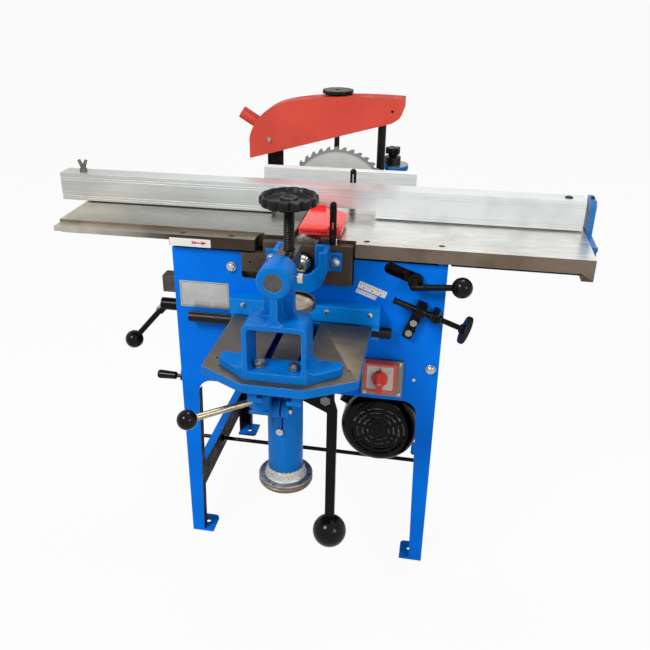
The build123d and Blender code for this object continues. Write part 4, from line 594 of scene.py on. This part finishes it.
def strip(p0, p1, width):
    """The outline of a straight line of some width."""
    a = Vector(p0)
    b = Vector(p1)
    side = (b - a).normalized().orthogonal() * width / 2
    return [tuple(a + side), tuple(a - side), tuple(b - side), tuple(b + side)]


def border(shape, place, x0, x1, y0, y1, width, high, finish):
    """Four thin lines round a rectangle."""
    for p0, p1 in (((x0, y0), (x1, y0)), ((x0, y1), (x1, y1)), ((x0, y0), (x0, y1)), ((x1, y0), (x1, y1))):
        shape.prism(place, strip(p0, p1, width), 0.0, high, finish)


def press_screw():
    """Threaded screw with the black lobed and dished handwheel of the hold-down."""
    shape = Shape("press_screw_turned")
    base = Matrix.Translation((0, screw_y, 0))
    rim = 50.0
    low = 866.0
    lobe_count = 14
    lobe_depth = 4.6
    lobe_foot = 38.0
    shape.turned(base, [(0, 685.5), (5.6, 685.5), (6, 686), (6, 694)], "dark_steel", 24)
    shape.threaded(base, 10.0, 1.5, 4.0, 692.6, 860.0, "dark_steel")

    def lobes(a, r, h):
        valley = (1 - abs(sin(lobe_count / 2 * a))) ** 1.6
        return -lobe_depth * valley * max(0.0, (r - lobe_foot) / (rim - lobe_foot))

    hub = [(10.2, low - 7), (12, low - 7), (13, low - 6), (13.5, low - 1), (17, low + 0.5)]
    under = [(36, low + 1.5), (42, low), (46.5, low + 0.3), (49, low + 2), (rim, low + 5)]
    top = [(rim, low + 12.5), (49, low + 15.5), (46.5, low + 17), (44.5, low + 17), (42.5, low + 15.5)]
    dish = [(40, low + 9.5), (37, low + 7.5), (18, low + 8.2), (15.5, low + 9.5), (14.5, low + 12.3),
            (13, low + 13), (9, low + 13), (8, low + 11.5), (0, low + 11.2)]
    shape.turned(base, hub + under + top + dish, "black_plastic", 168, lobes)
    shape.piece("press_screw", "press_screw")


def adjust_screw():
    """Inclined adjusting screw: thread, two collars, plain rod and knurled wheel."""
    shape = Shape("adjust_screw_turned")
    axis = along((adjust_x, adjust_y, adjust_z), downhill)
    knurls = 60
    rod = 5.2
    shape.turned(axis, [(0, -70), (5, -70), (6.3, -68.5), (6.3, -66)], "dark_steel", 24)
    shape.threaded(axis, 6.4, 0.9, 2.5, -67, 5, "dark_steel", 24)
    for low, high in ((4, 9.8), (22.2, 28)):
        collar = [(0, low), (7.7, low), (8.5, low + 0.8), (8.5, high - 0.8), (7.7, high), (0, high)]
        shape.turned(axis, collar, "dark_steel", 32)
    shape.turned(axis, [(rod, 9), (rod, 72)], "gloss_black", 24)

    def knurl(a, r, h):
        return 0.35 * cos(knurls * a) if r > 26 else 0.0

    back = [(rod, 65), (8, 65), (9, 66), (9, 70.5), (11, 71.2), (20, 72), (24, 71), (26, 71.4)]
    front = [(27, 73), (27, 79), (26, 80.6), (24, 81), (20, 79.8), (9, 79.6), (7.5, 81), (0, 81)]
    shape.turned(axis, back + front, "black_plastic", 240, knurl)
    shape.piece("adjust_screw", "adjust_screw")


def chuck():
    """Mortising chuck: black body with a bright fluted nose and an open bore."""
    shape = Shape("chuck_fluted")
    axis = along((0, -246, spindle_z), (0, -1, 0))
    flute_count = 18
    flute_depth = 0.9
    body = [(13, 0), (14, 0), (17.4, 2.6), (18, 3.4), (18, 11.6), (17.2, 12.6), (16, 13)]
    shape.turned(axis, body, "gloss_black", 48)

    def flutes(a, r, h):
        if 14 < h < 32 and r > 11:
            return -flute_depth * (0.5 + 0.5 * cos(flute_count * a)) ** 2
        return 0.0

    nose = [(16, 12.8), (16.5, 13.5), (16.5, 16), (15.4, 17.6), (13.7, 24), (12.2, 32.4), (11.2, 34)]
    bore = [(7.3, 34), (6.5, 33.2), (6.5, 14), (0, 14)]
    shape.turned(axis, nose + bore, "nose_steel", 144, flutes)
    shape.piece("mortise_chuck", "mortise_chuck")


def lift_wheel():
    """Handwheel under the column: rough cast cone, polished rim with a groove."""
    shape = Shape("lift_handwheel_turned")
    base = Matrix.Translation((0, column_y, 371.5))
    shape.banded(base, (
        ("steel", [(0, 108), (8.5, 108), (9, 107.5), (9, 0)]),
        ("cast_alloy", [(9, 0), (34, 0), (35, -3), (37, -11), (38.6, -16.8), (40, -18.4)]),
        ("rim_steel", [(40, -18.4), (41, -18.6), (48.8, -18.5), (50.2, -19.2), (51, -20.6)]),
        ("rim_brown", [(51, -20.6), (51, -23.6), (50, -24.4), (50, -26), (51, -26.8), (51, -31.6),
                       (50, -33.6), (48, -35), (38, -35), (36.5, -34)]),
        ("cast_alloy", [(36.5, -34), (32, -24), (13, -16.5), (12, -17.5), (12, -27), (11, -28), (0, -28)]),
    ), 96)
    shape.piece("lift_handwheel", "lift_handwheel")


def switch_details():
    """Pale dial with plain marks, the plate's screws and the knob's centre screw."""
    dial = facing((switch_x, switch_front + 1.5, switch_z), X, Z)
    shape = Shape("switch_dial")
    half = 26.6
    shape.prism(dial, rounded(-half, half, -half, half, 3.0), 0.0, 1.1, "switch_face", 0.3)
    for angle in (-52, 0, 52):
        a = radians(90 + angle)
        inner = (18.6 * cos(a), 18.6 * sin(a))
        outer = (23.6 * cos(a), 23.6 * sin(a))
        shape.prism(dial, strip(inner, outer, 1.3), 1.05, 1.25, "ink")
    shape.piece("switch_box")

    screws = Shape("switch_plate_screws")
    plate = facing((0, panel_y - switch_plate, 0), X, Z)
    for x, z in ((194.5, 506), (194.5, 437), (125, 506), (125, 437)):
        spot = plate @ Matrix.Translation((x, z, 0))
        screws.turned(spot, [(4.4, -0.2), (4.4, 0.9), (3.7, 2.0), (2.2, 2.7), (0, 2.9)], "bright_steel", 28)
        spot = spot @ Matrix.Rotation(radians(x + z), 4, "Z")
        screws.prism(spot, strip((-3.4, 0), (3.4, 0), 0.9), 2.2, 2.95, "ink")
    screws.piece("switch_box")

    cap = Shape("switch_knob_screw")
    spot = facing((switch_x, switch_front - 17, switch_z - 4), X, Z)
    cap.turned(spot, [(2.6, -0.2), (2.6, 0.4), (2, 0.9), (0, 1)], "steel", 24)
    cap.prism(spot, strip((0, -2.1), (0, 2.1), 0.6), 0.7, 1.05, "ink")
    cap.piece("switch_knob")


def nameplate_frame():
    """Bare plate: a thin printed frame and two empty fields."""
    low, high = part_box("nameplate")
    face = facing((0, low.y / mm, 0), X, Z)
    x0 = low.x / mm
    x1 = high.x / mm
    z0 = low.z / mm
    z1 = high.z / mm
    shape = Shape("nameplate_frame")
    border(shape, face, x0 + 2.6, x1 - 2.6, z0 + 2.6, z1 - 2.6, 0.7, 0.12, "ink")
    border(shape, face, x0 + 31, x0 + 59, z0 + 6, z0 + 11, 0.45, 0.12, "ink")
    border(shape, face, x1 - 25, x1 - 7, z0 + 6, z0 + 11, 0.45, 0.12, "ink")
    shape.piece("nameplate")


def arrow_label():
    """White label on the outfeed ledge with a plain feed arrow."""
    face = facing((0, table_front, 0), X, Z)
    shape = Shape("feed_arrow_label")
    shape.prism(face, rounded(-269, -185, 726, 742.5, 1.0), 0.0, 0.25, "label_white", 0.1)
    z = 734.6
    tail = -223.0
    tip = -193.0
    shape.prism(face, strip((tail, z), (tip - 8, z), 2.4), 0.2, 0.36, "ink_red")
    head = [(tip, z), (tip - 11, z + 4.2), (tip - 8.4, z), (tip - 11, z - 4.2)]
    shape.prism(face, head, 0.2, 0.37, "ink_red")
    for x in (tail + 4, tail + 9):
        shape.prism(face, strip((x, z), (x - 4.5, z + 3.4), 1.5), 0.2, 0.38, "ink_red")
        shape.prism(face, strip((x, z), (x - 4.5, z - 3.4), 1.5), 0.2, 0.39, "ink_red")
    shape.piece("outfeed_table")


def depth_scale():
    """Two pale strips with plain ticks, set along the infeed table's incline."""
    face = facing((104.5, panel_y, 669), downhill, uphill)
    shape = Shape("depth_scale")
    shape.prism(face, rounded(0, 57, -7, 7.5, 0.8), 0.0, 0.3, "label_white", 0.1)
    shape.prism(face, rounded(0, 42, -18, -9.2, 0.8), 0.0, 0.3, "label_white", 0.1)
    for i in range(12):
        tall = 6.5 if i % 4 == 0 else 4.0
        x = 4 + 4.4 * i
        shape.prism(face, strip((x, 5.8), (x, 5.8 - tall), 1.0), 0.25, 0.4, "ink")
        if x < 40:
            shape.prism(face, strip((x, -10.4), (x, -10.4 - 0.7 * tall), 1.0), 0.25, 0.4, "ink")
    for i in range(3):
        shape.prism(face, rounded(10 + 17.6 * i, 13 + 17.6 * i, -4.5, -1.5, 1.2), 0.25, 0.4, "ink_red")
    shape.piece("stand_cabinet")


def small_pieces():
    """Seam on the left leg, stop pin beside the front post and a dark disc as painted shade in the cutter
    guard's small hole.
    """
    seam = Shape("leg_seam")
    face = facing((0, panel_y, 0), X, Z)
    waves = [(-269.6 + 2.4 * i, 420.3 + 0.35 * (i % 3)) for i in range(29)]
    upper = [(x, z + 0.8 + 0.2 * (i % 2)) for i, (x, z) in enumerate(waves)]
    lower = [(x, z - 0.7) for x, z in reversed(waves)]
    seam.prism(face, lower + upper, 0.0, 0.35, "sheet_blue")
    seam.piece("stand_cabinet")

    pin = Shape("stop_pin")
    profile = [(2.6, -0.5), (2.6, 1), (1.9, 1.6), (1.9, 11), (1.2, 12), (0, 12.2)]
    pin.turned(Matrix.Translation((59.8, -236.5, 748)), profile, "bright_steel", 24)
    pin.piece("planer_body")

    # A shallow dark dish standing for the hole: painted shade.
    hole = Shape("cutter_guard_hole_painted_shade")
    profile = [(3.0, -0.2), (3.0, 0.12), (2.2, 0.16), (1.9, -0.1), (0, -0.15)]
    hole.turned(Matrix.Translation((56.2, -200.2, 775)), profile, "dark_painted_shade", 24)
    hole.piece("cutter_guard")


def hex_bolt(shape, place, across, high, washer=0.0):
    """Bolt head with a rounded top edge, on a washer where one is given."""
    low = 0.0
    if washer:
        low = 1.4
        ring = [(0, 0), (washer, 0), (washer, 0.9), (washer - 0.5, low), (0, low)]
        shape.turned(place, ring, "bright_steel", 36)
    r = across / 3 ** 0.5
    head = [(r, low - 0.1), (r, high - 1.4), (0.9 * r, high - 0.35), (0.8 * r, high), (0, high)]
    shape.turned(place, head, "bright_steel", 6)


def panel_fittings():
    """Bolts of panel and chuck guard, screws of the guide bar and the lug of the adjusting screw."""
    shape = Shape("panel_fittings_detailed")
    panel_bolts = ((-149, 685, 15, 7, 10.2), (254, 497, 15, 7, 10.2), (223, 471, 8, 3.5, 0))
    for x, z, across, high, washer in panel_bolts:
        hex_bolt(shape, facing((x, panel_y, z), X, Z), across, high, washer)
    screw_head = [(0, -0.2), (5.4, -0.2), (5.4, 1.2), (4.6, 2.6), (2.6, 3.5), (0, 3.7)]
    for x in (-119, -40, 48, 132):
        place = facing((x, -260, 619), X, Z)
        shape.turned(place, screw_head, "bright_steel", 36)
        place = place @ Matrix.Rotation(radians(x), 4, "Z")
        shape.prism(place, strip((-3.4, 0), (3.4, 0), 1.1), 2.6, 3.8, "ink")
    for x in (-61, 61):
        hex_bolt(shape, facing((x, -252, 718), X, Z), 14, 6, 9.2)
    lug = facing((adjust_x, panel_y, adjust_z), downhill, uphill)
    shape.prism(lug, rounded(10.3, 21.7, -9, 9, 2.0), 0.2, 37.5, "black_paint", 1.2)
    shape.piece("panel_fittings", "panel_fittings")


def press_pad():
    """Cup-shaped pad at the screw's foot: pale floor, dark wall and a worn rim."""
    low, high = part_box("press_pad")
    base = Matrix.Translation(((low.x + high.x) / 2 / mm, (low.y + high.y) / 2 / mm, low.z / mm))
    r = (high.x - low.x) / 2 / mm
    top = (high.z - low.z) / mm
    inner = r - 3.2
    shape = Shape("press_pad_cup")
    shape.banded(base, (
        ("bar_steel", [(0, 0), (r - 1.6, 0), (r, 1.4), (r, top - 1), (r - 0.8, top), (inner + 0.6, top),
                       (inner, top - 0.6)]),
        ("black_paint", [(inner, top - 0.6), (inner - 0.4, 5.3)]),
        ("pad_floor", [(inner - 0.4, 5.3), (r - 8, 4.6), (12, 5.4), (11, 6.5), (0, 6.5)]),
    ), 96)
    shape.piece("press_pad", "press_pad")


press_screw()
press_pad()
adjust_screw()
panel_fittings()
chuck()
lift_wheel()
switch_details()
nameplate_frame()
arrow_label()
depth_scale()
small_pieces()


# Rounded edges


def soften(name, width, angle=34):
    """Rounds a node's edges as a casting, forging or folded sheet has them; its mesh stays as it is."""
    node = nodes[name]
    weld = node.modifiers.new("weld", "WELD")
    weld.merge_threshold = 0.002 * mm
    flat = node.modifiers.new("flat", "DECIMATE")
    flat.decimate_type = "DISSOLVE"
    flat.angle_limit = radians(0.6)
    flat.delimit = {"MATERIAL"}
    bevel = node.modifiers.new("bevel", "BEVEL")
    bevel.width = width * mm
    bevel.segments = 2
    bevel.limit_method = "ANGLE"
    bevel.angle_limit = radians(angle)
    bevel.harden_normals = True
    bevel.miter_outer = "MITER_ARC"


edge_radius = {
    2.0: ["hold_down_frame", "mortise_knee", "table_saddle"],
    1.5: ["mortise_guide", "chuck_guard", "fence_bracket_right", "fence_bracket_left", "cross_lever"],
    1.0: ["mortise_table", "planer_body", "infeed_table", "outfeed_table", "left_side_blocks", "saw_table",
          "press_bar", "infeed_fittings", "knee_fittings"],
    0.6: ["panel_fittings", "hold_down_bolts", "planer_fence", "rip_fence", "switch_box", "switch_knob",
          "cutter_guard", "star_wheel", "mitre_head", "mitre_knob", "stand_cabinet"],
}
for width, names in edge_radius.items():
    for name in names:
        soften(name, width)


# Camera, light and floor


def white_rays(tree):
    """1 for the rays that meet plain white: those of the camera and those off metal or through glass."""
    path = tree.nodes.new("ShaderNodeLightPath")
    total = path.outputs["Is Camera Ray"]
    for name in ("Is Glossy Ray", "Is Transmission Ray"):
        both = tree.nodes.new("ShaderNodeMath")
        both.operation = "MAXIMUM"
        tree.links.new(total, both.inputs[0])
        tree.links.new(path.outputs[name], both.inputs[1])
        total = both.outputs["Value"]
    return total


def studio():
    """Camera, three soft lamps, an even sky and a pale floor."""
    camera = bpy.data.cameras.new("camera")
    camera.sensor_width = 36.0
    camera.lens = 41.76
    camera.shift_x = 0.043
    camera.shift_y = -0.003
    eye = bpy.data.objects.new("camera", camera)
    eye.location = (0.2531, -1.5638, 1.2367)
    eye.rotation_euler = (radians(64.03), 0.0, radians(11.43))
    bpy.context.scene.collection.objects.link(eye)
    bpy.context.scene.camera = eye

    lamps = (
        ("key", (-1.5, -2.4, 3.0), 1.0, 96.0),
        ("fill", (2.4, -2.4, 1.9), 1.1, 34.0),
        ("top", (0.3, 0.7, 3.4), 1.2, 40.0),
    )
    aim = Vector((0.0, -0.1, 0.6))
    for name, place, size, power in lamps:
        light = bpy.data.lights.new(name, "AREA")
        light.shape = "SQUARE"
        light.size = size
        light.energy = power
        lamp = bpy.data.objects.new(name, light)
        lamp.location = place
        lamp.rotation_euler = (aim - Vector(place)).to_track_quat("-Z", "Y").to_euler()
        bpy.context.scene.collection.objects.link(lamp)

    world = bpy.data.worlds.new("studio")
    bpy.context.scene.world = world
    world.use_nodes = True
    sky = world.node_tree
    dim = sky.nodes["Background"]
    dim.inputs["Color"].default_value = (1.0, 1.0, 1.0, 1.0)
    dim.inputs["Strength"].default_value = 0.36
    white = sky.nodes.new("ShaderNodeBackground")
    white.inputs["Color"].default_value = (1.0, 1.0, 1.0, 1.0)
    mix = sky.nodes.new("ShaderNodeMixShader")
    sky.links.new(white_rays(sky), mix.inputs["Fac"])
    sky.links.new(dim.outputs["Background"], mix.inputs[1])
    sky.links.new(white.outputs["Background"], mix.inputs[2])
    sky.links.new(mix.outputs["Shader"], sky.nodes["World Output"].inputs["Surface"])

    bpy.ops.mesh.primitive_plane_add(size=160.0, location=(0, 0, -0.0004))
    ground_plane = bpy.context.object
    ground_plane.name = "floor"
    f = Finish("floor", (0.62, 0.62, 0.62), 0.9, Specular_IOR_Level=0.0)
    f.colour(f.blend(f.span(f.noise(0.5), 0.3, 0.7), (0.6, 0.6, 0.6), (0.64, 0.64, 0.64)))
    glow = f.add("Emission")
    glow.inputs["Color"].default_value = (1.0, 1.0, 1.0, 1.0)
    over = f.add("MixShader")
    f.link(f.math("MULTIPLY", white_rays(f.tree), 0.94), over.inputs["Fac"])
    f.link(f.shader.outputs["BSDF"], over.inputs[1])
    f.link(glow.outputs["Emission"], over.inputs[2])
    f.link(over.outputs["Shader"], f.tree.nodes["Material Output"].inputs["Surface"])
    ground_plane.data.materials.append(f.material)

    bpy.context.scene.view_settings.view_transform = "Standard"


studio()
